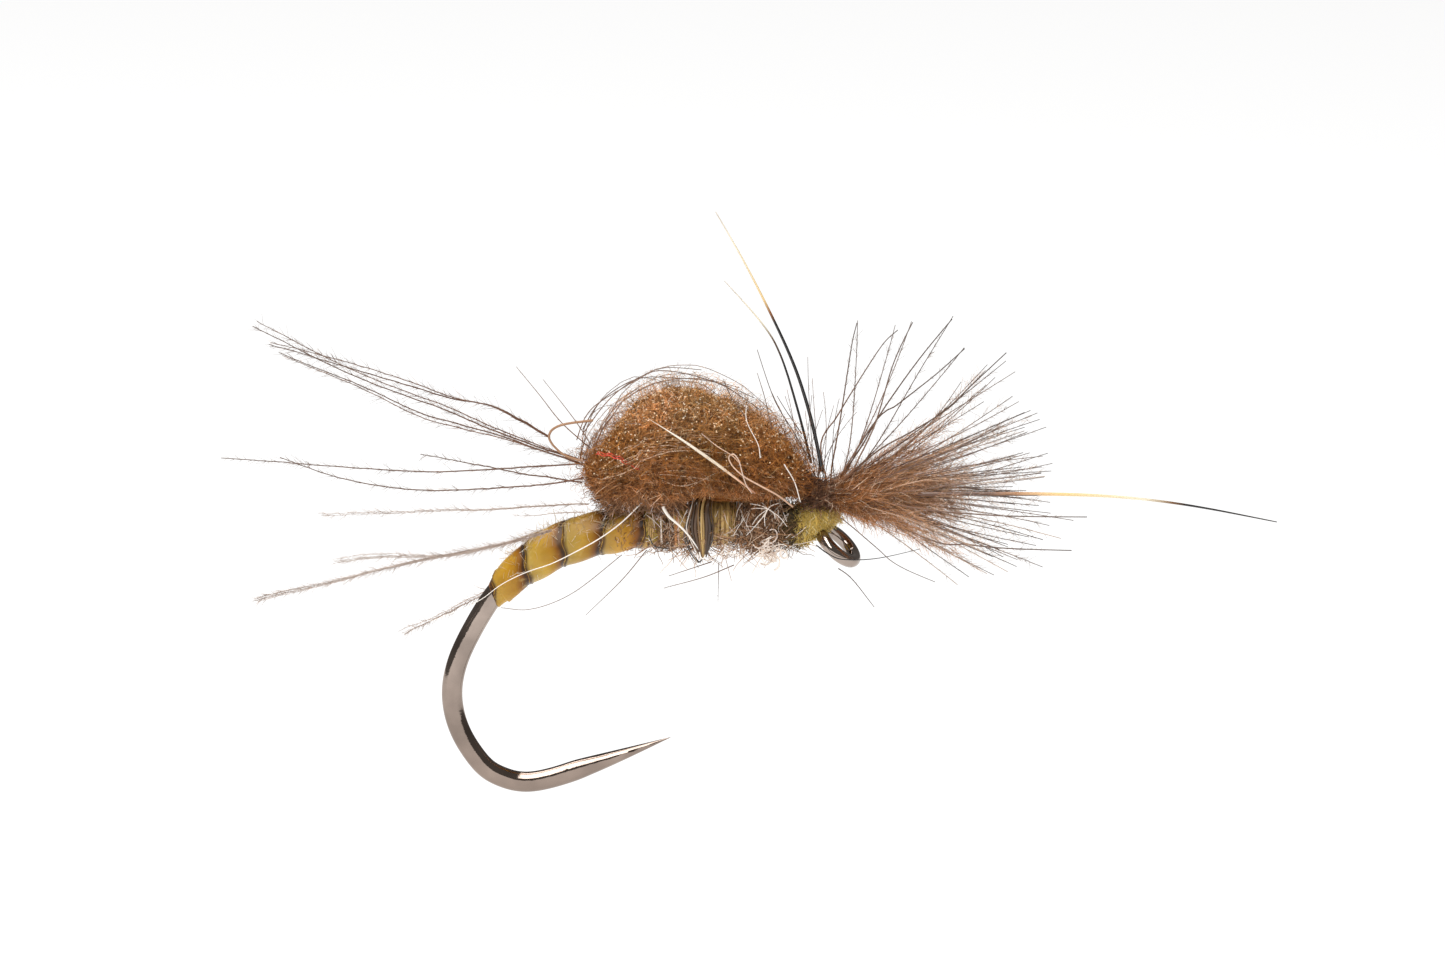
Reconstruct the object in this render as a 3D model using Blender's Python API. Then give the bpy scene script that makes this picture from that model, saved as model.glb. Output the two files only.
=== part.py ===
"""Emerger dry fly on a curved barbless hook, built piece by piece.

Frame: origin at the centre of the hook eye, +X along the shank towards the front,
+Z up, so the hook lies in the XZ plane. Metres. Routes below are listed in
millimetres and scaled by MM.
"""
from math import cos, pi, radians, sin, sqrt

import bmesh
import bpy
from mathutils import Matrix, Vector

MM = 0.001

# Driving dimensions, in millimetres
WIRE_RADIUS = 0.275        # hook wire in the bend's plane
HOOK_RINGS = 68            # sections along the hook wire
FORGED_HALF = 0.20         # half thickness of the wire between its forged flats
FORGED_ROUNDING = 1.07     # how far the round section would pass the flats if it weren't pressed
FORGING_LENGTH = 0.06      # share of the hook line over which the flats begin
NECK_RADIUS = 0.18         # wire where it runs into the eye
NECK_LENGTH = 0.03         # share of the hook line over which the wire narrows to the neck
POINT_RADIUS = 0.012       # the point's blunt end
EYE_RADIUS = 0.57          # eye ring, to the middle of its wire
EYE_WIRE = 0.17            # radius of the eye's wire
EYE_TURN_DOWN = radians(42)
EYE_OUT_OF_SQUARE = radians(11)
GAP = 0.02                 # clearance between touching pieces
THREAD_OUTER = 0.345       # thread underbody on the shank
THORAX_BASE = 0.50         # radius of the thorax's yellow base
WRAP_RADIUS = 0.055        # one olive-tan strand of the thorax
WRAP_TURNS = 10
DUBBING_RADIUS = 0.80       # thorax dubbing at its fattest
RIB_RADIUS = 0.035         # dark edge of the abdomen's strip
RIB_TURNS = 4.6
SEGMENTS = 5               # turns of the abdomen's strip
STRIP_REAR = 0.375         # radius of the wound strip at its rear end
STRIP_SWELL = 0.18         # how much fatter it gets to the front
STRIP_STEP = 0.035         # step between one turn of the strip and the next
LEG_ROOT = 0.045           # radius of a trailing barb at its root
LEG_TIP = 0.012
HAIR_ROOT = 0.05           # radius of a guard hair at its root

# The hook wire's centre line, from the neck back along the shank, round the bend and out
# to the point: (x, z)
HOOK_LINE = [
    (-0.46, 0.43), (-1.14, 0.59), (-2.60, 0.66), (-4.18, 0.59), (-5.80, 0.42),
    (-7.32, 0.00), (-8.36, -0.65), (-9.04, -1.27), (-9.70, -2.33), (-10.12, -3.30),
    (-10.23, -4.20), (-10.00, -5.12), (-9.44, -5.98), (-8.90, -6.33), (-8.30, -6.46),
    (-7.60, -6.35), (-6.60, -6.02), (-5.60, -5.67), (-4.48, -5.26),
]
# Where the pieces on the wire end, as shares of the hook line's length from the neck
HEAD_FRONT = 0.008
HEAD_REAR = 0.027
COLLAR_REAR = 0.058
DUBBING_REAR = 0.110
THORAX_REAR = 0.237
WRAPS_FRONT = 0.130
WRAPS_REAR = 0.190
ABDOMEN_FRONT = 0.239
ABDOMEN_REAR = 0.460
FORGING_START = 0.36
POINT_TAPER = 0.865
BETWEEN = 0.001            # share left free between neighbours

# The feather dome, front to rear: (x, lowest z, highest z, half width in y)
DOME_STATIONS = [
    (-0.84, 1.66, 1.84, 0.10), (-1.05, 1.26, 2.20, 0.60), (-1.40, 1.08, 2.76, 0.98),
    (-2.00, 1.02, 3.31, 1.32), (-2.86, 1.00, 3.79, 1.52), (-3.80, 1.02, 4.12, 1.60),
    (-4.50, 1.06, 4.13, 1.56), (-5.24, 1.10, 3.83, 1.42), (-5.80, 1.18, 3.16, 1.20),
    (-6.25, 1.38, 2.54, 0.88), (-6.50, 1.60, 2.26, 0.52), (-6.62, 1.82, 2.08, 0.14),
]

# Trailing barbs, from the body to the tip: (x, y, z)
LEGS = {
    "leg_upper_1": [(-7.62, -0.5, 3.03), (-9.07, -0.9, 3.89), (-10.42, -1.1, 4.21),
                    (-12.56, -1.5, 4.97), (-15.26, -2.0, 5.91)],
    "leg_upper_2": [(-6.85, -0.4, 2.38), (-8.91, -0.6, 3.13), (-10.60, -0.7, 3.85),
                    (-12.56, -0.8, 4.63), (-15.34, -1.0, 6.11)],
    "leg_upper_3": [(-6.85, 0.1, 2.18), (-9.07, 0.3, 2.91), (-10.95, 0.5, 3.38),
                    (-12.56, 0.7, 4.07), (-15.57, 0.9, 5.30)],
    "leg_middle_1": [(-6.75, 0.7, 2.04), (-8.25, 0.9, 1.94), (-10.26, 1.2, 1.75),
                     (-12.56, 1.4, 1.78), (-16.34, 1.8, 2.00)],
    "leg_middle_2": [(-6.70, -0.9, 2.00), (-8.25, -1.2, 1.88), (-10.95, -1.5, 1.83),
                     (-12.96, -1.8, 2.19), (-14.65, -2.0, 2.80)],
    "leg_middle_3": [(-6.75, -0.7, 1.84), (-7.91, -0.9, 2.03), (-9.07, -1.1, 2.29),
                     (-11.08, -1.3, 2.74)],
    "leg_low_1": [(-6.61, 1.2, 0.85), (-7.91, 1.4, 0.76), (-9.60, 1.7, 0.56),
                  (-10.95, 1.9, 0.49), (-14.97, 2.5, 0.20)],
    "leg_low_2": [(-6.69, -1.0, 1.10), (-7.56, -1.1, 1.04), (-8.59, -1.3, 0.98)],
    "leg_under_1": [(-7.56, -0.75, 0.55), (-8.94, -1.1, 0.23), (-10.47, -1.5, 0.02),
                    (-12.60, -2.0, -0.38), (-15.34, -2.5, -0.98)],
    "leg_under_2": [(-7.46, 0.9, 0.30), (-8.94, 1.2, -0.20), (-10.47, 1.5, -0.59),
                    (-12.27, 1.9, -0.70), (-13.43, 2.2, -0.93)],
    "leg_rear": [(-9.20, 0.75, -1.40), (-10.39, 1.3, -2.15), (-11.61, 1.9, -2.96)],
}

# Loose feather fibres arching over the dome
ARCHES = {
    "arch_fibre_1": [(-6.74, -0.95, 3.17), (-6.03, -0.95, 4.12), (-5.24, -0.9, 4.70),
                     (-4.50, -0.8, 4.86), (-3.12, -0.6, 4.46), (-2.06, -0.5, 3.75)],
    "arch_fibre_2": [(-6.75, 0.45, 3.02), (-6.25, 0.5, 3.80), (-5.30, 0.5, 4.38),
                     (-4.30, 0.4, 4.42), (-3.20, 0.4, 4.30), (-2.20, 0.3, 3.90)],
    "arch_fibre_3": [(-6.90, -0.10, 2.85), (-6.55, -0.1, 3.65), (-5.60, -0.1, 4.30),
                     (-4.70, -0.1, 4.78), (-3.60, 0.0, 4.72)],
    "arch_fibre_4": [(-6.45, 1.25, 2.60), (-5.90, 1.5, 3.40), (-4.90, 1.5, 4.05),
                     (-3.70, 1.45, 4.20), (-2.60, 1.2, 4.00)],
}
STEM_LOOP = [(-6.45, -1.05, 3.58), (-7.22, -1.0, 3.46), (-7.56, -1.0, 3.28),
             (-7.58, -0.95, 3.00), (-7.22, -0.9, 2.62), (-6.75, -0.85, 2.45)]

# Guard hairs and finer hairs, from root to tip
GUARD_HAIRS = {
    "guard_hair_1": [(-0.42, -0.3, 2.05), (-0.71, -0.3, 3.44), (-1.24, -0.3, 5.09),
                     (-2.30, -0.2, 7.31), (-3.23, -0.1, 8.97)],
    "guard_hair_2": [(-0.70, 0.45, 2.12), (-1.02, 0.45, 3.41), (-1.48, 0.45, 4.93),
                     (-1.96, 0.5, 5.81), (-3.01, 0.6, 7.01)],
    "guard_hair_front": [(2.10, -0.95, 1.58), (5.18, -0.90, 1.57), (7.32, -0.7, 1.45),
                         (9.30, -0.4, 1.15), (11.61, -0.1, 0.64)],
}
FINE_HAIRS = {
    "hair_white": [(-5.21, -0.90, 1.30), (-6.08, -0.78, 0.48), (-7.54, -0.72, -0.34),
                   (-8.62, -0.62, -0.76), (-9.54, -0.52, -1.43), (-10.79, -0.60, -1.95)],
    "hair_eye_1": [(-0.58, -0.85, 0.18), (-0.13, -0.85, -0.14), (0.32, -0.85, -0.22),
                   (1.11, -0.8, -0.18), (2.30, -0.7, 0.07)],
    "hair_eye_2": [(0.08, -0.75, 0.89), (0.90, -0.9, 0.22), (1.61, -1.0, -0.36),
                   (3.17, -1.2, -0.99)],
    "hair_eye_3": [(0.02, 0.35, -0.72), (0.40, 0.35, -1.02), (1.06, 0.3, -1.87)],
    "hair_thin_1": [(-0.74, -0.75, 2.42), (-1.20, -0.8, 3.25), (-1.69, -0.85, 4.10),
                    (-2.14, -1.0, 5.46)],
    "hair_thin_2": [(-0.95, 0.2, 2.95), (-1.40, 0.2, 3.63), (-1.67, 0.2, 4.09)],
}
PALE_QUILL = [(-2.19, -1.66, 1.75), (-3.09, -1.90, 2.50), (-4.10, -1.88, 3.22),
              (-5.00, -1.78, 3.78)]
TAN_HAIR = [(-1.11, -1.15, 1.24), (-1.69, -1.50, 1.70), (-2.17, -1.78, 2.04),
            (-2.54, -1.92, 2.36), (-3.20, -1.98, 3.11), (-3.54, -1.92, 3.39)]
RED_FIBRE = [(-6.38, -0.80, 2.60), (-5.92, -1.14, 2.60), (-5.58, -1.38, 2.48),
             (-5.21, -1.52, 2.34)]

# Pieces below the thorax
SILVER_STRAND = [(-4.62, -0.92, 1.25), (-4.48, -0.94, 1.00), (-4.20, -0.94, 0.75),
                 (-3.94, -0.92, 0.46), (-3.62, -0.88, 0.00)]
DARK_LOOP = [(-5.00, -0.64, 0.40), (-4.84, -0.64, 0.10), (-4.42, -0.60, 0.03)]
LEAF_CENTRE = (-3.66, -0.74, 0.42)
LEAF_HALF_WIDTH = 0.33
LEAF_HALF_HEIGHT = 0.66
CURLS = {
    "curl_rear": ((-3.30, -0.15, -0.28), (-2.60, -0.15, -0.26), 0.17),
    "curl_front": ((-2.20, -0.90, 0.00), (-1.60, -0.86, 0.08), 0.17),
}

# Wing feathers: base point, tip point, half width, half thickness in y
WING_FEATHERS = {
    "wing_feather_1": ((-0.20, 0.66, 1.62), (4.30, 1.05, 4.00), 0.62),
    "wing_feather_2": ((-0.15, 0.22, 1.52), (5.25, 0.40, 2.75), 0.66),
    "wing_feather_3": ((-0.15, -0.22, 1.44), (5.35, -0.40, 1.40), 0.62),
    "wing_feather_4": ((-0.20, -0.66, 1.36), (4.40, -1.02, 0.20), 0.55),
}
WING_THICKNESS = 0.15
BARBS = {
    "barb_1": [(-0.16, 0.10, 2.10), (0.08, 0.4, 3.43), (0.37, 0.6, 5.31), (0.50, 0.6, 5.87)],
    "barb_2": [(-0.45, 0.55, 2.60), (0.26, 0.8, 3.78), (1.16, 1.1, 5.15), (1.59, 1.2, 5.56)],
    "barb_3": [(0.34, -0.5, 2.06), (0.95, -0.8, 3.39), (1.43, -1.0, 5.08), (1.93, -1.2, 6.23)],
    "barb_4": [(0.60, 0.1, 2.60), (1.20, 0.15, 3.63), (2.14, 0.3, 4.95), (3.01, 0.5, 5.99)],
    "barb_5": [(1.00, 1.1, 3.10), (2.14, 1.3, 3.96), (2.75, 1.5, 4.42), (3.38, 1.7, 4.96)],
    "barb_6": [(1.00, -0.5, 2.61), (2.75, -0.8, 3.74), (3.44, -1.0, 4.46), (4.39, -1.2, 5.42)],
    "barb_7": [(2.43, -1.45, 1.25), (4.28, -1.5, 1.11), (6.53, -1.6, 1.10)],
    "barb_8": [(2.43, -1.45, 0.45), (4.20, -1.5, 0.25), (6.13, -1.6, 0.20)],
}


# Materials

def material(name, colour, roughness, metallic=0.0):
    made = bpy.data.materials.new(name)
    made.use_nodes = True
    made.diffuse_color = (*colour, 1.0)
    shader = made.node_tree.nodes["Principled BSDF"]
    shader.inputs["Base Color"].default_value = (*colour, 1.0)
    shader.inputs["Roughness"].default_value = roughness
    shader.inputs["Metallic"].default_value = metallic
    return made


# Curves

def spline(points, steps=6):
    """A smooth curve through hand-set points, with the given steps between two of them."""
    ends = [points[0], *points, points[-1]]
    ends = [Vector(p) for p in ends]
    curve = []
    for a, b, c, d in zip(ends, ends[1:], ends[2:], ends[3:]):
        for i in range(steps):
            t = i / steps
            curve.append(
                0.5 * (2 * b + (c - a) * t + (2 * a - 5 * b + 4 * c - d) * t * t
                       + (3 * b - a - 3 * c + d) * t ** 3)
            )
    curve.append(ends[-1])
    return curve


def even(path, count):
    """The same path as count points at equal distances."""
    lengths = [0.0]
    for a, b in zip(path, path[1:]):
        lengths.append(lengths[-1] + (b - a).length)
    spaced = []
    k = 0
    for i in range(count):
        goal = lengths[-1] * i / (count - 1)
        while k < len(path) - 2 and lengths[k + 1] < goal:
            k += 1
        t = (goal - lengths[k]) / max(lengths[k + 1] - lengths[k], 1e-9)
        spaced.append(path[k].lerp(path[k + 1], min(t, 1.0)))
    return spaced


def stretch(path, start, end, count):
    """The part of a path between two shares of its length."""
    fine = even(path, 2001)
    return even(fine[round(start * 2000):round(end * 2000) + 1], count)


def frames(path, side, closed=False):
    """A tangent, an up and a side direction at each point. side is the sideways direction."""
    found = []
    last = len(path) - 1
    for i in range(len(path)):
        if closed:
            tangent = path[(i + 1) % len(path)] - path[i - 1]
        else:
            tangent = path[min(i + 1, last)] - path[max(i - 1, 0)]
        tangent.normalize()
        up = side.cross(tangent).normalized()
        found.append((tangent, up, tangent.cross(up)))
    return found


def side_of(path):
    """A direction that is square to most of a path, for its frames."""
    chord = (path[-1] - path[0]).normalized()
    guess = Vector((0, 1, 0))
    if abs(chord.dot(guess)) > 0.8:
        guess = Vector((0, 0, 1))
    return (guess - chord * chord.dot(guess)).normalized()


# Solids

def finish(name, mesh_data, paint):
    """Turns a closed bmesh in millimetres into an object in metres, shaded smooth."""
    bmesh.ops.recalc_face_normals(mesh_data, faces=mesh_data.faces)
    bmesh.ops.scale(mesh_data, vec=(MM, MM, MM), verts=mesh_data.verts)
    mesh = bpy.data.meshes.new(name)
    mesh_data.to_mesh(mesh)
    mesh_data.free()
    mesh.materials.append(paint)
    mesh.shade_smooth()
    mesh.set_sharp_from_angle(angle=radians(40))
    made = bpy.data.objects.new(name, mesh)
    bpy.context.scene.collection.objects.link(made)
    return made


def add_rings(mesh_data, rings):
    return [[mesh_data.verts.new(p) for p in ring] for ring in rings]


def skin(mesh_data, rings, closed=False):
    """Quads between each ring of vertices and the next."""
    pairs = list(zip(rings, rings[1:]))
    if closed:
        pairs.append((rings[-1], rings[0]))
    for a, b in pairs:
        for i in range(len(a)):
            j = (i + 1) % len(a)
            mesh_data.faces.new((a[i], a[j], b[j], b[i]))


def loft(name, rings, paint):
    """A closed solid through a row of rings, with a flat cap at each end."""
    mesh_data = bmesh.new()
    made = add_rings(mesh_data, rings)
    skin(mesh_data, made)
    mesh_data.faces.new(made[0])
    mesh_data.faces.new(made[-1])
    return finish(name, mesh_data, paint)


def circle(centre, up, side, radius, count):
    ring = []
    for i in range(count):
        angle = 2 * pi * i / count
        ring.append(centre + up * (radius * cos(angle)) + side * (radius * sin(angle)))
    return ring


def tube(name, path, radii, paint, count=6, side=None):
    """A round solid along a path, with a radius for each point."""
    rings = []
    for point, radius, (_, up, across) in zip(path, radii, frames(path, side or side_of(path))):
        rings.append(circle(point, up, across, radius, count))
    return loft(name, rings, paint)


def tapered(count, root, tip):
    return [root + (tip - root) * i / (count - 1) for i in range(count)]


def fibre(name, points, root, tip, paint, count=5, length=10):
    """A tapered hair or barb through hand-set points."""
    path = even(spline(points), length)
    return tube(name, path, tapered(length, root, tip), paint, count)


def sleeve(name, path, outer, inner, paint, count=20):
    """A hollow solid round the hook's wire, from its outer radii and its bore's radius."""
    mesh_data = bmesh.new()
    found = frames(path, Vector((0, 1, 0)))
    outside = []
    inside = []
    for point, radius, (_, up, across) in zip(path, outer, found):
        outside.append(circle(point, up, across, radius, count))
        inside.append(circle(point, up, across, inner, count))
    outside = add_rings(mesh_data, outside)
    inside = add_rings(mesh_data, inside)
    skin(mesh_data, outside)
    skin(mesh_data, [ring[::-1] for ring in inside])
    for a, b in ((outside[0], inside[0]), (outside[-1], inside[-1])):
        for i in range(count):
            j = (i + 1) % count
            mesh_data.faces.new((a[i], a[j], b[j], b[i]))
    return finish(name, mesh_data, paint)


def closed_tube(name, path, radius, paint, count=6):
    """A round solid along a closed path in a plane square to y."""
    mesh_data = bmesh.new()
    rings = []
    for point, (_, up, across) in zip(path, frames(path, Vector((0, 1, 0)), closed=True)):
        rings.append(circle(point, up, across, radius, count))
    skin(mesh_data, add_rings(mesh_data, rings), closed=True)
    return finish(name, mesh_data, paint)


def helix(path, turns, radii, start=0.0, steps=12):
    """Points of a strand wound round a path, at a radius for each share of its length."""
    count = round(turns * steps) + 1
    axis = even(path, count)
    wound = []
    for i, (point, (_, up, across)) in enumerate(zip(axis, frames(axis, Vector((0, 1, 0))))):
        angle = start + 2 * pi * i / steps
        radius = radii(i / (count - 1))
        wound.append(point + up * (radius * cos(angle)) + across * (radius * sin(angle)))
    return wound


# The hook

def hook_line():
    return spline([(x, 0.0, z) for x, z in HOOK_LINE], 16)


def wire_section(centre, up, side, radius, half_width, count=20):
    """A round section whose two sides are pressed flat."""
    ring = []
    for i in range(count):
        angle = 2 * pi * i / count
        sideways = FORGED_ROUNDING * half_width * sin(angle)
        sideways = max(-half_width, min(half_width, sideways))
        ring.append(centre + up * (radius * cos(angle)) + side * sideways)
    return ring


def wire_size(share):
    """Radius in the bend's plane and half width between the flats, along the hook line."""
    if share < NECK_LENGTH:
        radius = NECK_RADIUS + (WIRE_RADIUS - NECK_RADIUS) * share / NECK_LENGTH
        return radius, radius
    if share > POINT_TAPER:
        left = (1 - share) / (1 - POINT_TAPER)
        radius = POINT_RADIUS + (WIRE_RADIUS - POINT_RADIUS) * (1 - (1 - left) ** 1.15)
        return radius, min(FORGED_HALF, radius)
    press = min(max((share - FORGING_START) / FORGING_LENGTH, 0.0), 1.0)
    return WIRE_RADIUS, WIRE_RADIUS + (FORGED_HALF - WIRE_RADIUS) * press


def eye_ring(paint):
    """The eye: a closed ring of wire, turned down and wound slightly out of square."""
    mesh_data = bmesh.new()
    rings = []
    for i in range(32):
        turn = 2 * pi * i / 32
        outwards = Vector((cos(turn), sin(turn), 0))
        rings.append(circle(outwards * EYE_RADIUS, outwards, Vector((0, 0, 1)), EYE_WIRE, 12))
    skin(mesh_data, add_rings(mesh_data, rings), closed=True)
    turn_down = Matrix.Rotation(EYE_TURN_DOWN, 3, "Y")
    roll = Matrix.Rotation(EYE_OUT_OF_SQUARE, 3, "X")
    bmesh.ops.transform(mesh_data, matrix=(turn_down @ roll).to_4x4(), verts=mesh_data.verts)
    return finish("eye_ring_tool", mesh_data, paint)


def join_by_union(target, tool):
    """Joins the tool's solid to the target's, and leaves the tool as a hidden guide."""
    union = target.modifiers.new("union", "BOOLEAN")
    union.operation = "UNION"
    union.object = tool
    hide_tool(tool)


def cut_away(target, tool):
    cut = target.modifiers.new("cut", "BOOLEAN")
    cut.operation = "DIFFERENCE"
    cut.object = tool
    hide_tool(tool)


def hide_tool(tool):
    tool.hide_render = True
    tool.display_type = "WIRE"


def make_hook(paint):
    line = hook_line()
    path = even(line, HOOK_RINGS)
    rings = []
    for i, (point, (_, up, side)) in enumerate(zip(path, frames(path, Vector((0, 1, 0))))):
        radius, half_width = wire_size(i / (HOOK_RINGS - 1))
        rings.append(wire_section(point, up, side, radius, half_width))
    hook = loft("hook", rings, paint)
    join_by_union(hook, eye_ring(paint))
    return hook


# The body

def strip_swell(share):
    return STRIP_REAR + STRIP_SWELL * sin(min(share * 1.7, 1.0) * pi / 2)


def abdomen_radius(share):
    """The wound strip's radius from rear (0) to front (1), stepped at each turn."""
    within_turn = (share * SEGMENTS) % 1.0
    return strip_swell(share) + STRIP_STEP * (1 - within_turn) ** 2


def make_abdomen(biot, edge):
    line = hook_line()
    path = stretch(line, ABDOMEN_FRONT, ABDOMEN_REAR, 24)[::-1]
    radii = [abdomen_radius(i / 23) for i in range(24)]
    sleeve("abdomen", path, radii, WIRE_RADIUS + GAP, biot, 18)

    def over_strip(share):
        return strip_swell(share) + STRIP_STEP + RIB_RADIUS + 1.5 * GAP

    rib = helix(path, RIB_TURNS, over_strip, start=-0.5 * pi)
    tube("abdomen_rib", rib, tapered(len(rib), RIB_RADIUS, RIB_RADIUS), edge, 4,
         side=Vector((0.9, 0, 0.44)))


def make_thorax(paints):
    line = hook_line()
    thread = stretch(line, HEAD_FRONT, THORAX_REAR, 14)
    sleeve("shank_thread", thread, [THREAD_OUTER] * 14, WIRE_RADIUS + GAP, paints["thread"], 14)

    bore = THREAD_OUTER + GAP
    base = stretch(line, DUBBING_REAR + BETWEEN, THORAX_REAR, 9)
    radii = [THORAX_BASE * (1.04 - 0.06 * sin(pi * i / 8)) for i in range(9)]
    sleeve("thorax_base", base, radii, bore, paints["thread"], 16)

    wound = helix(stretch(line, WRAPS_FRONT, WRAPS_REAR, 10), WRAP_TURNS,
                  lambda share: THORAX_BASE + WRAP_RADIUS + GAP, steps=10)
    tube("thorax_wraps", wound, tapered(len(wound), WRAP_RADIUS, WRAP_RADIUS), paints["quill"],
         5, side=Vector((1, 0, 0)))

    dubbing = stretch(line, COLLAR_REAR + BETWEEN, DUBBING_REAR, 9)
    thin = 0.58 * DUBBING_RADIUS
    radii = [thin + (DUBBING_RADIUS - thin) * sin(pi * i / 8) for i in range(9)]
    sleeve("thorax_dubbing", dubbing, radii, bore, paints["dubbing"], 16)


def make_head(paints):
    line = hook_line()
    collar = stretch(line, HEAD_REAR + BETWEEN, COLLAR_REAR, 5)
    radii = [0.44 + 0.05 * sin(pi * i / 4) for i in range(5)]
    sleeve("tie_in_collar", collar, radii, THREAD_OUTER + GAP, paints["collar"], 16)

    head = stretch(line, HEAD_FRONT, HEAD_REAR, 7)
    radii = [0.40 + 0.17 * sin(pi * (0.25 + 0.65 * i / 6)) for i in range(7)]
    sleeve("thread_head", head, radii, THREAD_OUTER + GAP, paints["thread"], 18)


def leaf_outline(half_width, half_height, count):
    """A leaf standing on its point: round at the top, pointed at the bottom."""
    x0, y0, z0 = LEAF_CENTRE
    outline = []
    for i in range(count):
        turn = 2 * pi * i / count
        narrow = 1 - 0.55 * max(0.0, -cos(turn)) ** 1.5
        outline.append(Vector((x0 + half_width * narrow * sin(turn), y0,
                               z0 + half_height * cos(turn))))
    return outline


def make_underside(paints):
    closed_tube("leaf_loop", leaf_outline(LEAF_HALF_WIDTH, LEAF_HALF_HEIGHT, 20), 0.045,
                paints["gloss_dark"])
    blade = leaf_outline(LEAF_HALF_WIDTH * 0.45, LEAF_HALF_HEIGHT * 0.8, 16)
    thick = Vector((0, 0.03, 0))
    loft("leaf_blade", [[p - thick for p in blade], [p + thick for p in blade]],
         paints["quill"])
    fibre("silver_strand", SILVER_STRAND, 0.05, 0.035, paints["silver"])
    fibre("dark_loop", DARK_LOOP, 0.03, 0.025, paints["gloss_dark"])
    for name, (start, end, radius) in CURLS.items():
        curl = helix([Vector(start), Vector(end)], 3, lambda share, r=radius: r, steps=9)
        tube(name, curl, tapered(len(curl), 0.035, 0.02), paints["silver"], 4,
             side=Vector((1, 0, 0)))


# The feather pieces

def make_dome(paint):
    """The feather back, hollowed below so that it sits over the thorax."""
    rings = []
    for x, low, high, half_width in DOME_STATIONS:
        ring = []
        for i in range(24):
            turn = 2 * pi * i / 24
            ring.append(Vector((x, half_width * sin(turn),
                                (low + high) / 2 + (high - low) / 2 * cos(turn))))
        rings.append(ring)
    dome = loft("bubble_back", rings, paint)
    line = hook_line()
    seat = stretch(line, 0.0, 0.24, 12)
    seat_radius = DUBBING_RADIUS + 2 * GAP
    cut_away(dome, tube("dome_seat_tool", seat, [seat_radius] * 12, paint, 20,
                        side=Vector((0, 1, 0))))
    return dome


def make_wing(paint):
    for name, (base, tip, half_width) in WING_FEATHERS.items():
        base = Vector(base)
        reach = Vector(tip) - base
        up = Vector((0, 1, 0)).cross(reach).normalized()
        rings = []
        for i in range(9):
            share = i / 8
            width = 0.10 + half_width * sqrt(share) * (1 - share ** 4) ** 0.5
            depth = 0.09 + (WING_THICKNESS - 0.09) * sin(pi * share)
            rings.append([
                base + reach * share + up * (width * cos(2 * pi * k / 12))
                + Vector((0, depth * sin(2 * pi * k / 12), 0))
                for k in range(12)
            ])
        loft(name, rings, paint)
    for name, points in BARBS.items():
        fibre(name, points, 0.04, LEG_TIP, paint)


def make_fibres(paints):
    for name, points in LEGS.items():
        fibre(name, points, LEG_ROOT, LEG_TIP, paints["feather"])
    for name, points in ARCHES.items():
        fibre(name, points, 0.03, LEG_TIP, paints["feather"], length=14)
    fibre("stem_loop", STEM_LOOP, 0.055, 0.05, paints["stem"], length=14)
    for name, points in GUARD_HAIRS.items():
        fibre(name, points, HAIR_ROOT, 0.01, paints["guard"], 6, 12)
    for name, points in FINE_HAIRS.items():
        pale = name == "hair_white"
        fibre(name, points, 0.025, 0.01, paints["silver" if pale else "feather"])
    fibre("pale_quill", PALE_QUILL, 0.045, 0.02, paints["pale"])
    fibre("tan_hair", TAN_HAIR, 0.03, 0.015, paints["pale"])
    fibre("red_fibre", RED_FIBRE, 0.022, 0.018, paints["red"])


def clear_scene():
    for item in list(bpy.data.objects):
        bpy.data.objects.remove(item, do_unlink=True)


def main():
    clear_scene()
    paints = {
        "steel": material("hook_steel", (0.30, 0.27, 0.25), 0.18, 1.0),
        "biot": material("biot_yellow", (0.50, 0.34, 0.05), 0.35),
        "edge": material("biot_edge", (0.11, 0.05, 0.01), 0.45),
        "thread": material("thread_yellow", (0.42, 0.33, 0.10), 0.75),
        "collar": material("thread_olive", (0.09, 0.08, 0.04), 0.80),
        "quill": material("quill_tan", (0.30, 0.22, 0.12), 0.45),
        "dubbing": material("dubbing_brown", (0.16, 0.10, 0.08), 0.90),
        "gloss_dark": material("gloss_dark", (0.05, 0.04, 0.03), 0.20),
        "silver": material("fibre_pale", (0.72, 0.70, 0.67), 0.35),
        "feather": material("feather_brown", (0.20, 0.12, 0.08), 0.85),
        "dome": material("feather_dome", (0.17, 0.08, 0.035), 0.90),
        "stem": material("stem_brown", (0.22, 0.13, 0.07), 0.50),
        "guard": material("guard_hair", (0.10, 0.07, 0.05), 0.35),
        "pale": material("quill_pale", (0.78, 0.52, 0.34), 0.45),
        "red": material("fibre_red", (0.75, 0.05, 0.04), 0.50),
    }
    make_hook(paints["steel"])
    make_abdomen(paints["biot"], paints["edge"])
    make_thorax(paints)
    make_head(paints)
    make_underside(paints)
    make_dome(paints["dome"])
    make_wing(paints["feather"])
    make_fibres(paints)


main()
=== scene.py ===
"""Looks of the emerger dry fly: every fibre is a real tapered tube grown on the CAD frame.

Lengths are in millimetres (MM scales them to metres) and positions come from the CAD
nodes, read below as boxes, middle lines and surfaces. Every random draw is seeded.
"""

import bmesh
import bpy
import numpy as np
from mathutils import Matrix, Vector
from mathutils.bvhtree import BVHTree


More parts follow.
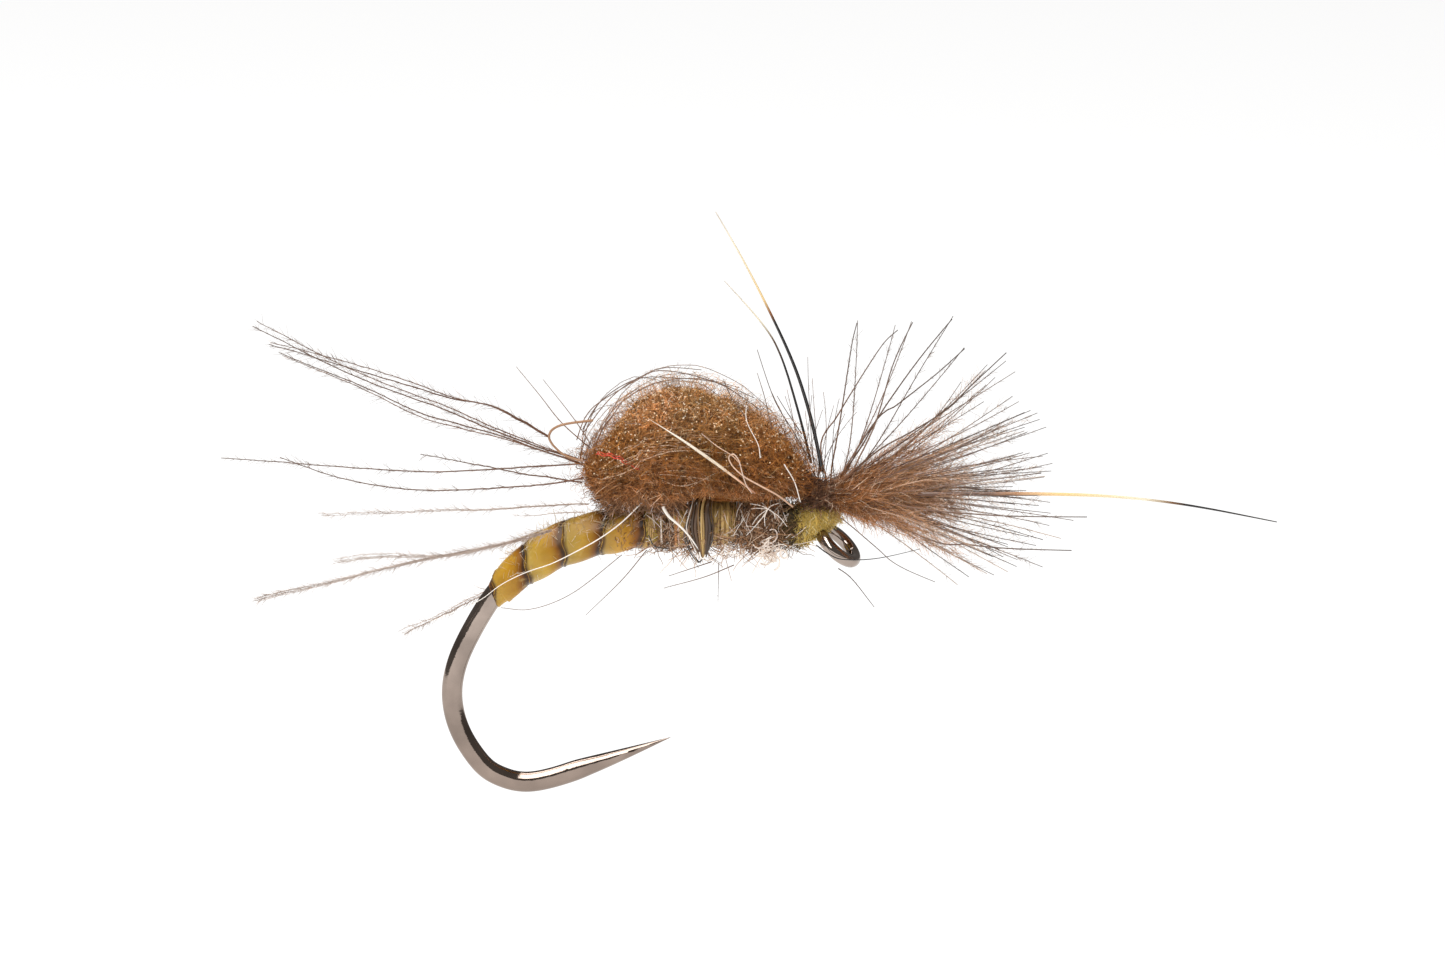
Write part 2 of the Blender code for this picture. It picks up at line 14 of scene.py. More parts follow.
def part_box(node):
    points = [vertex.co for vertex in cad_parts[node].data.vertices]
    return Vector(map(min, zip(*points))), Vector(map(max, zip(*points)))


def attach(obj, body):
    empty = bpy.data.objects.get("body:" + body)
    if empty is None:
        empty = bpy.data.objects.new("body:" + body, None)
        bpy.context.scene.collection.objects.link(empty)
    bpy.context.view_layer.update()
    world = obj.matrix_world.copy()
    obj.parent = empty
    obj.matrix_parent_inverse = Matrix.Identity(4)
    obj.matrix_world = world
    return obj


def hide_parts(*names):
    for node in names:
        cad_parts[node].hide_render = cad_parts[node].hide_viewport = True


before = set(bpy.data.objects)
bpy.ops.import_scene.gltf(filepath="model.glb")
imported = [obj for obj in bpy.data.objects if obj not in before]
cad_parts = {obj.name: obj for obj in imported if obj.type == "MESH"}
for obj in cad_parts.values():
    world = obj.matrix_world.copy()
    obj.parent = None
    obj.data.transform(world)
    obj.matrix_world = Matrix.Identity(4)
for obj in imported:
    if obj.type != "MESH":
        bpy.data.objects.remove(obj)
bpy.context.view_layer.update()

MM = 0.001
MOST_TRIANGLES = 180000     # per piece; a larger set of fibres becomes several pieces

# The camera
PICTURE_WIDTH = 38.2        # width of the view at the fly
PICTURE_CENTRE = (-3.05, 0.0, 1.70)
CAMERA_ELEVATION = np.radians(12)
CAMERA_DISTANCE = 230.0
SENSOR = 36.0

# The studio
FLOOR_HEIGHT = -21.0
FLOOR_REACH = 430.0
FLOOR_GLOW = 0.725          # just enough for the lit floor to be white
ROOM_LIGHT = 0.16
BACKDROP = 1.02
LAMP_SPOT = (-75, -260, 300)
LAMP_SIZE = (200, 760)
LAMP_TARGET = (-75, -259.9, 0)
LAMP_POWER = 2.7

NEAR = np.array([0.0, -1.0, 0.0])
RAY_HEIGHT = 20             # rays into the CAD start this far above or below the shank


# Reading the frame

def box(node):
    low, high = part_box(node)
    return np.array(low) / MM, np.array(high) / MM


def corners(node):
    """The distinct vertices of a CAD node."""
    found = np.array([v.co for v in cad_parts[node].data.vertices]) / MM
    return np.unique(found.round(4), axis=0)


def middle_line(node, start, sides=5):
    """The centres of a CAD fibre's rings, from the end nearest to start."""
    left = corners(node)
    centre = np.array(start, float)
    line = []
    while len(left) >= sides:
        near = np.argsort(np.linalg.norm(left - centre, axis=1))
        if not line:
            first = left[near[0]]
            near = np.argsort(np.linalg.norm(left - first, axis=1))
        centre = left[near[:sides]].mean(axis=0)
        left = left[near[sides:]]
        line.append(centre)
    return np.array(line)


def surface(node):
    """A CAD node's surface for casting rays, in millimetres."""
    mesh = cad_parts[node].data
    points = [v.co / MM for v in mesh.vertices]
    return BVHTree.FromPolygons(points, [tuple(p.vertices) for p in mesh.polygons])


def struck(tree, x, height, way):
    """How high a ray down (way -1) or up (1) from (x, 0, height) meets a surface."""
    return tree.ray_cast(Vector((x, 0, height)), Vector((0, 0, way)))[0].z


# Curves

def unit(v):
    return v / np.maximum(np.linalg.norm(v, axis=-1, keepdims=True), 1e-12)


def even(path, count):
    run = np.concatenate([[0.0], np.cumsum(np.linalg.norm(np.diff(path, axis=0), axis=1))])
    goal = np.linspace(0, run[-1], count)
    return np.stack([np.interp(goal, run, path[:, i]) for i in range(3)], axis=1)


def smooth(points, count):
    """count even points on a smooth curve through the given ones."""
    p = np.array(points, float)
    p = np.vstack([2 * p[0] - p[1], p, 2 * p[-1] - p[-2]])
    t = np.linspace(0, len(p) - 3 - 1e-9, count * 4)
    i = t.astype(int)
    f = (t - i)[:, None]
    a, b, c, d = p[i], p[i + 1], p[i + 2], p[i + 3]
    curve = 0.5 * (2 * b + (c - a) * f + (2 * a - 5 * b + 4 * c - d) * f ** 2
                   + (3 * b - a - 3 * c + d) * f ** 3)
    return even(curve, count)


def steps(count):
    """Shares along fibres of count points, to go with arrays (fibre, point, xyz)."""
    return np.linspace(0, 1, count)[None, :, None]


def arcs(roots, directions, lengths, bends, count):
    """Fibres from roots along directions, bent sideways towards their tips."""
    t = steps(count)
    return roots[:, None] + (directions * lengths[:, None])[:, None] * t + bends[:, None] * t ** 2


def random_unit(rng, count):
    return unit(rng.normal(size=(count, 3)))


def scatter(rng, count, size):
    """Random offsets with their own spread in x, y and z."""
    return rng.normal(0, 1, (count, 3)) * np.array(size)


def outward(turn, lean=0.0):
    """Directions out from the shank: turn 0 is up, a quarter turn near. lean is their x."""
    return np.stack([np.broadcast_to(lean, turn.shape), -np.sin(turn), np.cos(turn)], axis=1)


def wound(rng, out, least, loose):
    """Directions of fuzz that follows the windings, one way or the other."""
    wrap = np.cross(out, np.array([1.0, 0.0, 0.0]))
    return unit(wrap * rng.choice([-1.0, 1.0], len(out))[:, None]
                + out * rng.uniform(least, 0.5, len(out))[:, None]
                + random_unit(rng, len(out)) * loose)


def square_to(directions, vectors):
    return unit(vectors - directions * np.sum(vectors * directions, axis=-1, keepdims=True))


def taper(lines, root, tip, power=1.0):
    """Radii from root to tip for each fibre."""
    t = np.linspace(0, 1, lines.shape[1]) ** power
    return np.tile(root + (tip - root) * t, (len(lines), 1))


def barbules(rng, lines, per_mm, size, radius, where=(0.0, 1.0), angle=(35, 75), count=4,
             away_from=None, shrink=0.5, curl=0.2):
    """Fine side hairs of barbs: (lines, radii)."""
    runs = np.linalg.norm(np.diff(lines, axis=1), axis=2).sum(axis=1)
    numbers = rng.poisson(per_mm * runs * (where[1] - where[0]))
    owner = np.repeat(np.arange(len(lines)), numbers)
    share = rng.uniform(where[0], where[1], len(owner))
    spot = np.minimum(share * (lines.shape[1] - 1), lines.shape[1] - 1.001)
    i = spot.astype(int)
    f = (spot - i)[:, None]
    roots = lines[owner, i] * (1 - f) + lines[owner, i + 1] * f
    along = unit(lines[owner, i + 1] - lines[owner, i])
    across = square_to(along, random_unit(rng, len(owner)))
    if away_from is not None:
        outwards = unit(roots - away_from(roots))
        inwards = np.sum(across * outwards, axis=1) < -0.1
        across[inwards] *= -1
    turn = np.radians(rng.uniform(angle[0], angle[1], len(owner)))[:, None]
    directions = along * np.cos(turn) + across * np.sin(turn)
    lengths = size * rng.uniform(0.45, 1.0, len(owner)) * (1 - shrink * share)
    bends = (along * 0.3 + random_unit(rng, len(owner)) * curl * 2) * lengths[:, None]
    made = arcs(roots, directions, lengths, bends, count)
    return made, taper(made, radius, radius * 0.45)


# Meshes

def ring_points(lines, radii, sides):
    """The vertices of round tubes along lines, on frames that don't twist."""
    along = unit(np.gradient(lines, axis=1))
    first = along[:, 0]
    normal = square_to(first, np.eye(3)[np.argmin(np.abs(first), axis=1)])
    normals = np.empty_like(lines)
    for i in range(lines.shape[1]):
        normal = square_to(along[:, i], normal)
        normals[:, i] = normal
    sideways = np.cross(along, normals)
    turn = 2 * np.pi * np.arange(sides) / sides
    rings = (normals[:, :, None] * np.cos(turn)[:, None]
             + sideways[:, :, None] * np.sin(turn)[:, None])
    return lines[:, :, None] + rings * radii[:, :, None, None]


def tube_faces(count, rings, sides):
    """Vertex lists of the quads, then of the two end caps, of count tubes."""
    base = (np.arange(count) * rings * sides)[:, None, None]
    ring = (np.arange(rings - 1) * sides)[None, :, None]
    j = np.arange(sides)[None, None, :]
    a = base + ring + j
    b = base + ring + (j + 1) % sides
    quads = np.stack([a, b, b + sides, a + sides], axis=-1).reshape(-1, 4)
    root = base[:, 0] + np.arange(sides)[::-1]
    tip = base[:, 0] + (rings - 1) * sides + np.arange(sides)
    return quads, np.concatenate([root, tip])


def new_mesh(name, points, faces, attributes):
    """A smooth-shaded mesh in metres. faces is a list of arrays, one for each face size."""
    mesh = bpy.data.meshes.new(name)
    mesh.vertices.add(len(points))
    mesh.vertices.foreach_set("co", (points * MM).ravel())
    loops = np.concatenate([f.ravel() for f in faces])
    sizes = np.concatenate([np.full(len(f), f.shape[1]) for f in faces])
    mesh.loops.add(len(loops))
    mesh.loops.foreach_set("vertex_index", loops.astype(np.int32))
    mesh.polygons.add(len(sizes))
    starts = np.concatenate([[0], np.cumsum(sizes)[:-1]])
    mesh.polygons.foreach_set("loop_start", starts.astype(np.int32))
    mesh.polygons.foreach_set("use_smooth", np.ones(len(sizes), bool))
    for key, values in attributes.items():
        layer = mesh.attributes.new(key, "FLOAT", "POINT")
        layer.data.foreach_set("value", values.ravel().astype(np.float32))
    mesh.update(calc_edges=True)
    return mesh


def bare_copy(node, name):
    """A copy of a CAD node's mesh, under a new name and without its material."""
    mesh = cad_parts[node].data.copy()
    mesh.name = name
    mesh.materials.clear()
    return mesh


def merged(mesh):
    """A mesh's editable shape, with its triangles joined into larger faces."""
    shape = bmesh.new()
    shape.from_mesh(mesh)
    bmesh.ops.remove_doubles(shape, verts=shape.verts, dist=0.0005 * MM)
    bmesh.ops.join_triangles(shape, faces=shape.faces, angle_face_threshold=0.7,
                             angle_shape_threshold=1.0)
    return shape


def put_back(shape, mesh):
    shape.to_mesh(mesh)
    shape.free()
    mesh.shade_smooth()


def add_object(name, data):
    made = bpy.data.objects.new(name, data)
    bpy.context.scene.collection.objects.link(made)
    return made


def place(mesh, paint, nodes=()):
    """A mesh as a piece that rides on the fly, and stands for the CAD nodes named."""
    mesh.materials.append(paint)
    piece = add_object(mesh.name, mesh)
    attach(piece, "root")
    if nodes:
        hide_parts(*nodes)
    return piece


def triangles_each(lines, sides):
    return 2 * sides * (lines.shape[1] - 1) + 2 * (sides - 2)


def grow(name, batches, paint, nodes=()):
    """Pieces made of round fibres. A batch is (lines, radii, tones, sides)."""
    groups = [[]]
    room = MOST_TRIANGLES
    for lines, radii, tones, sides in batches:
        at = 0
        while at < len(lines):
            fit = max(1, room // triangles_each(lines, sides))
            part = slice(at, at + fit)
            groups[-1].append((lines[part], radii[part], tones[part], sides))
            room -= len(lines[part]) * triangles_each(lines, sides)
            at += fit
            if room < triangles_each(lines, sides):
                groups.append([])
                room = MOST_TRIANGLES
    groups = [g for g in groups if g]
    for number, group in enumerate(groups):
        points, quads, caps, along, tone = [], [], {}, [], []
        offset = 0
        for lines, radii, tones, sides in group:
            count, rings, _ = lines.shape
            points.append(ring_points(lines, radii, sides).reshape(-1, 3))
            sheet, ends = tube_faces(count, rings, sides)
            quads.append(sheet + offset)
            caps.setdefault(sides, []).append(ends + offset)
            share = steps(rings)
            along.append(np.broadcast_to(share, (count, rings, sides)).ravel())
            tone.append(np.repeat(tones, rings * sides))
            offset += count * rings * sides
        faces = [np.concatenate(quads)] + [np.concatenate(c) for c in caps.values()]
        shades = {"along": np.concatenate(along), "tone": np.concatenate(tone)}
        label = name if len(groups) == 1 else f"{name}_{number + 1}"
        mesh = new_mesh(label, np.concatenate(points), faces, shades)
        place(mesh, paint, nodes if number == 0 else ())


def tones(rng, count):
    return rng.uniform(0, 1, count)


def batch(rng, lines, radii, sides=3, tone=None):
    return lines, radii, tones(rng, len(lines)) if tone is None else tone, sides


def tapered(rng, lines, root, tip, sides=3, tone=None):
    return batch(rng, lines, taper(lines, root, tip), sides, tone)


def haired(rng, lines, size, hairs, where=(0.0, 1.0), tone=None, **how):
    """Barbs of size (root, tip, sides), and their side hairs: (per mm, length, radius)."""
    hair, radii = barbules(rng, lines, *hairs, where, **how)
    return [tapered(rng, lines, *size, tone), batch(rng, hair, radii)]


def tube_sheet(rows, name, attributes):
    """A closed mesh through rows of points, each row a ring, with its ends filled."""
    count, sides, _ = rows.shape
    quads, caps = tube_faces(1, count, sides)
    return new_mesh(name, rows.reshape(-1, 3), [quads, caps], attributes)


# Materials

class Paint:
    """A Principled material with its nodes added one call at a time."""

    def __init__(self, name, **values):
        self.material = bpy.data.materials.new(name)
        self.material.use_nodes = True
        self.tree = self.material.node_tree
        self.shader = self.tree.nodes["Principled BSDF"]
        for key, value in values.items():
            self.shader.inputs[key.replace("_", " ")].default_value = value

    def node(self, kind, **settings):
        made = self.tree.nodes.new(kind)
        for key, value in settings.items():
            setattr(made, key, value)
        return made

    def link(self, source, target):
        self.tree.links.new(source, target)

    def attribute(self, name):
        return self.node("ShaderNodeAttribute", attribute_name=name).outputs["Fac"]

    def place(self, axis):
        spot = self.node("ShaderNodeTexCoord")
        split = self.node("ShaderNodeSeparateXYZ")
        self.link(spot.outputs["Object"], split.inputs[0])
        return split.outputs[axis]

    def noise(self, scale, detail=3.0, stretch=None):
        spot = self.node("ShaderNodeTexCoord")
        made = self.node("ShaderNodeTexNoise")
        made.inputs["Scale"].default_value = scale / MM
        made.inputs["Detail"].default_value = detail
        if stretch is None:
            self.link(spot.outputs["Object"], made.inputs["Vector"])
        else:
            mapping = self.node("ShaderNodeMapping")
            mapping.inputs["Scale"].default_value = stretch
            self.link(spot.outputs["Object"], mapping.inputs["Vector"])
            self.link(mapping.outputs[0], made.inputs["Vector"])
        return made.outputs["Fac"]

    def ramp(self, source, stops):
        """stops: (position, colour or grey)."""
        made = self.node("ShaderNodeValToRGB")
        elements = made.color_ramp.elements
        while len(elements) < len(stops):
            elements.new(1.0)
        for element, (position, colour) in zip(elements, stops):
            element.position = position
            grey = isinstance(colour, (int, float))
            element.color = (colour, colour, colour, 1) if grey else (*colour, 1)
        self.link(source, made.inputs[0])
        return made.outputs["Color"]

    def span(self, source, low, high, to_low=0.0, to_high=1.0):
        made = self.node("ShaderNodeMapRange")
        for key, value in zip(("From Min", "From Max", "To Min", "To Max"),
                              (low, high, to_low, to_high)):
            made.inputs[key].default_value = value
        self.link(source, made.inputs["Value"])
        return made.outputs["Result"]

    def mix(self, factor, a, b, blend="MIX"):
        made = self.node("ShaderNodeMix", data_type="RGBA", blend_type=blend)
        if isinstance(factor, (int, float)):
            made.inputs[0].default_value = factor
        else:
            self.link(factor, made.inputs[0])
        for source, target in ((a, made.inputs[6]), (b, made.inputs[7])):
            if isinstance(source, tuple):
                target.default_value = (*source, 1)
            else:
                self.link(source, target)
        return made.outputs[2]

    def times(self, a, b):
        return self.mix(1.0, a, b, "MULTIPLY")

    def colour(self, source, plain):
        self.shader.inputs["Base Color"].default_value = (*plain, 1)
        self.link(source, self.shader.inputs["Base Color"])

    def roughness(self, source):
        self.link(source, self.shader.inputs["Roughness"])

    def bump(self, height, distance, strength=1.0):
        made = self.node("ShaderNodeBump")
        made.inputs["Distance"].default_value = distance * MM
        made.inputs["Strength"].default_value = strength
        self.link(height, made.inputs["Height"])
        self.link(made.outputs[0], self.shader.inputs["Normal"])


FIBRE_LOOKS = {             # (root, tip, pale fibres that are partly painted glints, share of them, roughness, contrast)
    "dun_barb": ((0.20, 0.110, 0.070), (0.21, 0.155, 0.125), (0.55, 0.36, 0.24), 0.05, 0.5, 0.45),
    "trailing_barb": ((0.19, 0.088, 0.050), (0.16, 0.110, 0.084), (0.62, 0.40, 0.28),
                      0.06, 0.45, 0.35),
    "faint_barb": ((0.50, 0.37, 0.30), (0.57, 0.49, 0.44), (0.62, 0.52, 0.45), 0.06, 0.6, 0.25),
    "arching_barb": ((0.26, 0.145, 0.095), (0.18, 0.135, 0.115), (0.45, 0.33, 0.26),
                     0.05, 0.42, 0.35),
    "wing_barb": ((0.26, 0.125, 0.065), (0.145, 0.115, 0.100), (0.55, 0.40, 0.30),
                  0.06, 0.4, 0.45),
    "tie_in_fibre": ((0.13, 0.055, 0.024), (0.20, 0.10, 0.055), (0.70, 0.45, 0.28),
                     0.05, 0.42, 0.5),
    "dome_fibre": ((0.44, 0.160, 0.038), (0.76, 0.35, 0.115), (1.0, 0.70, 0.42),
                   0.05, 0.36, 0.66),
    "dome_strand": ((0.62, 0.33, 0.15), (0.52, 0.27, 0.14), (1.0, 0.76, 0.56), 0.22, 0.32, 0.5),
    "skirt_fibre": ((0.40, 0.155, 0.044), (0.48, 0.215, 0.082), (1.0, 0.70, 0.46),
                    0.06, 0.4, 0.6),
    "pale_fuzz": ((0.62, 0.44, 0.20), (0.66, 0.52, 0.36), (0.95, 0.85, 0.7), 0.2, 0.35, 0.3),
    "yellow_thread": ((0.72, 0.50, 0.100), (0.82, 0.61, 0.190), (0.95, 0.84, 0.50),
                      0.12, 0.55, 0.28),
    "olive_thread": ((0.125, 0.078, 0.026), (0.24, 0.150, 0.062), (0.55, 0.42, 0.25),
                     0.08, 0.5, 0.5),
    "purple_brown_dubbing": ((0.31, 0.155, 0.075), (0.50, 0.290, 0.160), (0.92, 0.70, 0.52),
                             0.10, 0.42, 0.6),
    "red_fibre": ((0.85, 0.030, 0.020), (0.80, 0.045, 0.030), (0.9, 0.08, 0.06),
                  0.1, 0.45, 0.15),
    "stem": ((0.36, 0.19, 0.10), (0.42, 0.24, 0.14), (0.5, 0.35, 0.25), 0.05, 0.4, 0.3),
}


def fibre_paint(name):
    """Feather or fur: shaded from root to tip, uneven from fibre to fibre, a few pale: paler
    fibres and painted glints.
    """
    root, tip, pale, pale_share, roughness, contrast = FIBRE_LOOKS[name]
    made = Paint(name, Roughness=roughness, Specular_IOR_Level=0.3)
    body = made.ramp(made.attribute("along"), [(0.0, root), (1.0, tip)])
    tone = made.attribute("tone")
    uneven = made.ramp(tone, [(0.0, 1 - contrast), (1.0, 1 + contrast)])
    body = made.times(body, uneven)
    # The palest share: partly paler fibres, partly painted glints.
    edge = 1 - pale_share
    glint = made.ramp(tone, [(edge - 0.01, 0.0), (edge + 0.01, 1.0)])
    body = made.mix(glint, body, pale)
    made.colour(body, root)
    return made


def fibre_look(name):
    return fibre_paint(name).material


def wing_paint():
    """The wing's dense inner part: chestnut at the root, pinkish brown further out."""
    made = Paint("wing_fluff", Roughness=0.42, Specular_IOR_Level=0.3)
    tone = made.attribute("tone")
    reach = made.span(made.place(0), -0.4 * MM, 5.0 * MM)
    body = made.ramp(reach, [(0.0, (0.20, 0.080, 0.024)), (0.16, (0.52, 0.215, 0.070)),
                             (0.45, (0.66, 0.350, 0.180)), (0.75, (0.52, 0.345, 0.245)),
                             (1.0, (0.38, 0.275, 0.220))])
    body = made.times(body, made.ramp(tone, [(0.0, 0.45), (1.0, 1.45)]))
    # The palest tenth of the fibres: partly paler fibres, partly painted orange glints.
    pale = made.ramp(tone, [(0.88, 0.0), (0.90, 1.0)])
    body = made.mix(pale, body, (1.0, 0.74, 0.54))
    made.colour(body, (0.52, 0.28, 0.15))
    return made.material


def dome_paint():
    """Tan-orange lightened at the top by painted light, shaded to chestnut below by painted shade,
    with darker patches and dark flecks as painted crevice shade.
    """
    made = fibre_paint("dome_fibre")
    warm = made.shader.inputs["Base Color"].links[0].from_socket
    # Painted light and shade: lighter towards the top, darker towards the bottom.
    height = made.span(made.place(2), 1.2 * MM, 4.1 * MM)
    lift = made.ramp(height, [(0.0, (0.50, 0.39, 0.28)), (0.35, (0.65, 0.56, 0.42)),
                              (0.65, (0.76, 0.71, 0.58)), (1.0, (1.10, 1.26, 1.62))])
    shaded = made.times(warm, lift)
    patch = made.ramp(made.noise(0.9, 3.0), [(0.35, (0.74, 0.78, 0.66)), (0.65, 1.12)])
    shaded = made.times(shaded, patch)
    # Fine light and dark flecks; the dark ones are painted shade in the crevices.
    tuft = made.ramp(made.noise(5.0, 2.0), [(0.34, 0.62), (0.66, 1.35)])
    made.colour(made.times(shaded, tuft), (0.42, 0.17, 0.055))
    made.shader.inputs["Specular IOR Level"].default_value = 0.34
    return made.material


def shaded_paint(name, attribute, stops, plain, **values):
    """A paint whose colour follows one attribute of the fibres."""
    made = Paint(name, **values)
    made.colour(made.ramp(made.attribute(attribute), stops), plain)
    return made.material


def grained_paint(name, noise, dark, light, plain, bump=None, **values):
    """Packed fibres, as a grain of two colours. noise and bump hold those calls' arguments."""
    made = Paint(name, **values)
    grain = made.noise(*noise)
    made.colour(made.ramp(grain, [(0.3, dark), (0.7, light)]), plain)
    if bump:
        made.bump(grain, *bump)
    return made.material


def glint_paint():
    """Painted glints: bright ends of fibres, with a faint painted glow."""
    return shaded_paint("dome_glint", "tone",
                        [(0.0, (0.80, 0.50, 0.24)), (0.6, (1.0, 0.80, 0.52)),
                         (1.0, (1.0, 0.95, 0.82))], (0.9, 0.66, 0.40), Roughness=0.22,
                        Specular_IOR_Level=0.9, Emission_Strength=0.25,
                        Emission_Color=(1.0, 0.85, 0.62, 1))


def skirt_paint():
    """Chestnut at the dome's edge, purple-brown where it hangs lower."""
    made = fibre_paint("skirt_fibre")
    warm = made.shader.inputs["Base Color"].links[0].from_socket
    low = made.span(made.place(2), 1.55 * MM, 1.10 * MM)
    cool = made.ramp(low, [(0.0, 1.0), (1.0, (0.72, 0.88, 1.30))])
    shaded = made.times(warm, cool)
    tuft = made.ramp(made.noise(5.0, 2.0), [(0.34, 0.60), (0.66, 1.35)])
    made.colour(made.times(shaded, tuft), (0.30, 0.13, 0.05))
    return made.material


def shell_paint():
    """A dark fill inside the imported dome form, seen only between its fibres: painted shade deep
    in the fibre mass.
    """
    return grained_paint("dome_shaded_fill", (3.5, 6.0, (0.45, 1, 1)), (0.10, 0.036, 0.010),
                         (0.34, 0.125, 0.030), (0.20, 0.075, 0.02), (0.06, 0.8),
                         Roughness=0.9, Specular_IOR_Level=0.1)


def steel_paint():
    """Polished black-nickel steel, darkened round the bend at the bottom by painted shade, with
    faint drawing marks.
    """
    made = Paint("black_nickel", Metallic=1.0)
    # Painted shade: the steel is darker towards the bottom of the hook.
    height = made.ramp(made.span(made.place(2), -6.0 * MM, -1.0 * MM),
                       [(0.0, (0.285, 0.222, 0.186)), (1.0, (0.38, 0.312, 0.270))])
    blotch = made.ramp(made.noise(0.9, 4.0), [(0.30, 0.72), (0.70, 1.16)])
    made.colour(made.times(height, blotch), (0.33, 0.27, 0.23))
    made.roughness(made.span(made.noise(4.0, 5.0), 0.3, 0.7, 0.05, 0.13))
    made.bump(made.noise(1.6, 4.0), 0.022, 0.7)
    return made.material


BIOT_SHADES = [             # (x where it starts, x where it is full, shade)
    (-8.2, -9.3, (1.04, 0.90, 0.55)), (-7.9, -7.1, (0.80, 0.77, 0.74)),
    (-6.4, -5.8, (1.30, 1.22, 1.25)),
]


def biot_paint():
    """Waxy quill strip: pale at each turn's start, orange-brown before its dark edge."""
    made = Paint("waxy_biot", Roughness=0.36, Subsurface_Weight=0.2, Coat_Weight=0.08,
                 Coat_Roughness=0.25, Specular_IOR_Level=0.3,
                 Subsurface_Radius=(0.5, 0.3, 0.08), Subsurface_Scale=0.30 * MM)
    wear = made.ramp(made.noise(1.7, 3.0, (0.4, 1.0, 1.0)), [(0.38, 0.0), (0.62, 1.0)])
    dark = made.mix(wear, (0.028, 0.014, 0.005), (0.11, 0.045, 0.008))
    strip = made.ramp(made.attribute("phase"), [
        (0.00, (0.06, 0.030, 0.008)), (0.04, (0.14, 0.085, 0.02)),
        (0.12, (0.52, 0.350, 0.075)), (0.40, (0.62, 0.385, 0.050)),
        (0.66, (0.53, 0.285, 0.016)), (0.82, (0.31, 0.122, 0.004)),
        (0.91, (0.13, 0.048, 0.004)), (0.95, (0.07, 0.026, 0.004)),
    ])
    edge = made.ramp(made.attribute("phase"),
                     [(0.02, 1.0), (0.05, 0.0), (0.88, 0.0), (0.94, 1.0)])
    strip = made.mix(edge, strip, dark)
    for start, end, shade in BIOT_SHADES:
        part = made.span(made.place(0), start * MM, end * MM)
        strip = made.mix(part, strip, made.times(strip, shade))
    patch = made.ramp(made.noise(1.1, 4.0), [(0.35, 1.0), (0.70, (0.66, 0.56, 0.36))])
    body = made.mix(0.8, strip, patch, "MULTIPLY")
    fine = made.noise(5.0, 4.0)
    body = made.mix(made.span(fine, 0.62, 0.75, 0.0, 0.35), body, (0.70, 0.52, 0.18))
    made.colour(body, (0.48, 0.28, 0.040))
    made.roughness(made.span(made.noise(3.0, 3.0), 0.3, 0.7, 0.28, 0.46))
    made.bump(made.noise(2.2, 5.0), 0.035, 0.6)
    return made.material


def thread_core_paint():
    return grained_paint("yellow_core", (4.0, 5.0, (3.0, 0.6, 0.6)), (0.34, 0.22, 0.03),
                         (0.66, 0.46, 0.10), (0.50, 0.34, 0.06), (0.05, 0.9), Roughness=0.7,
                         Subsurface_Weight=0.1, Specular_IOR_Level=0.3,
                         Subsurface_Scale=0.2 * MM)


def wrap_paint():
    """Wound strands, from dark brown through olive-tan to silver."""
    made = Paint("tan_strand", Roughness=0.30, Specular_IOR_Level=0.5, Coat_Weight=0.2,
                 Coat_Roughness=0.15)
    tone = made.attribute("tone")
    body = made.ramp(tone, [
        (0.00, (0.040, 0.020, 0.009)), (0.25, (0.20, 0.095, 0.032)),
        (0.45, (0.46, 0.290, 0.090)), (0.70, (0.68, 0.46, 0.17)),
        (0.85, (0.62, 0.26, 0.08)), (1.00, (0.85, 0.76, 0.66)),
    ])
    worn = made.ramp(made.noise(2.0, 4.0, (1.0, 1.0, 0.35)), [(0.35, 0.60), (0.65, 1.25)])
    made.colour(made.times(body, worn), (0.36, 0.24, 0.09))
    return made.material


def silver_paint():
    """Clear, glossy hair with a faint painted glow that brightens it like a highlight."""
    # The emission is a painted glow.
    return shaded_paint("silver_hair", "tone",
                        [(0.0, (0.60, 0.48, 0.40)), (0.5, (0.90, 0.80, 0.71)),
                         (1.0, (1.0, 0.95, 0.88))], (0.86, 0.78, 0.70), Roughness=0.16,
                        Specular_IOR_Level=0.9, Coat_Weight=0.5, Coat_Roughness=0.08,
                        Transmission_Weight=0.25, Emission_Strength=0.14,
                        Emission_Color=(1.0, 0.90, 0.80, 1))


def gloss_dark_paint():
    return shaded_paint("dark_gloss", "tone",
                        [(0.0, (0.012, 0.009, 0.007)), (1.0, (0.06, 0.045, 0.038))],
                        (0.03, 0.024, 0.02), Roughness=0.15, Specular_IOR_Level=0.8,
                        Coat_Weight=0.6, Coat_Roughness=0.06)


def ramp_paint(name, stops, roughness=0.3, coat=0.3):
    """A smooth hair whose colour runs from root to tip."""
    return shaded_paint(name, "along", stops, stops[len(stops) // 2][1], Roughness=roughness,
                        Coat_Weight=coat, Coat_Roughness=0.15, Specular_IOR_Level=0.6)


# The hook

EYE_START = -0.35           # where the eye's ring begins, in x
EYE_GROWTH = 2.2            # how far corners move out, as a share of what smoothing takes away
WIRE_GROWTH = 1.15


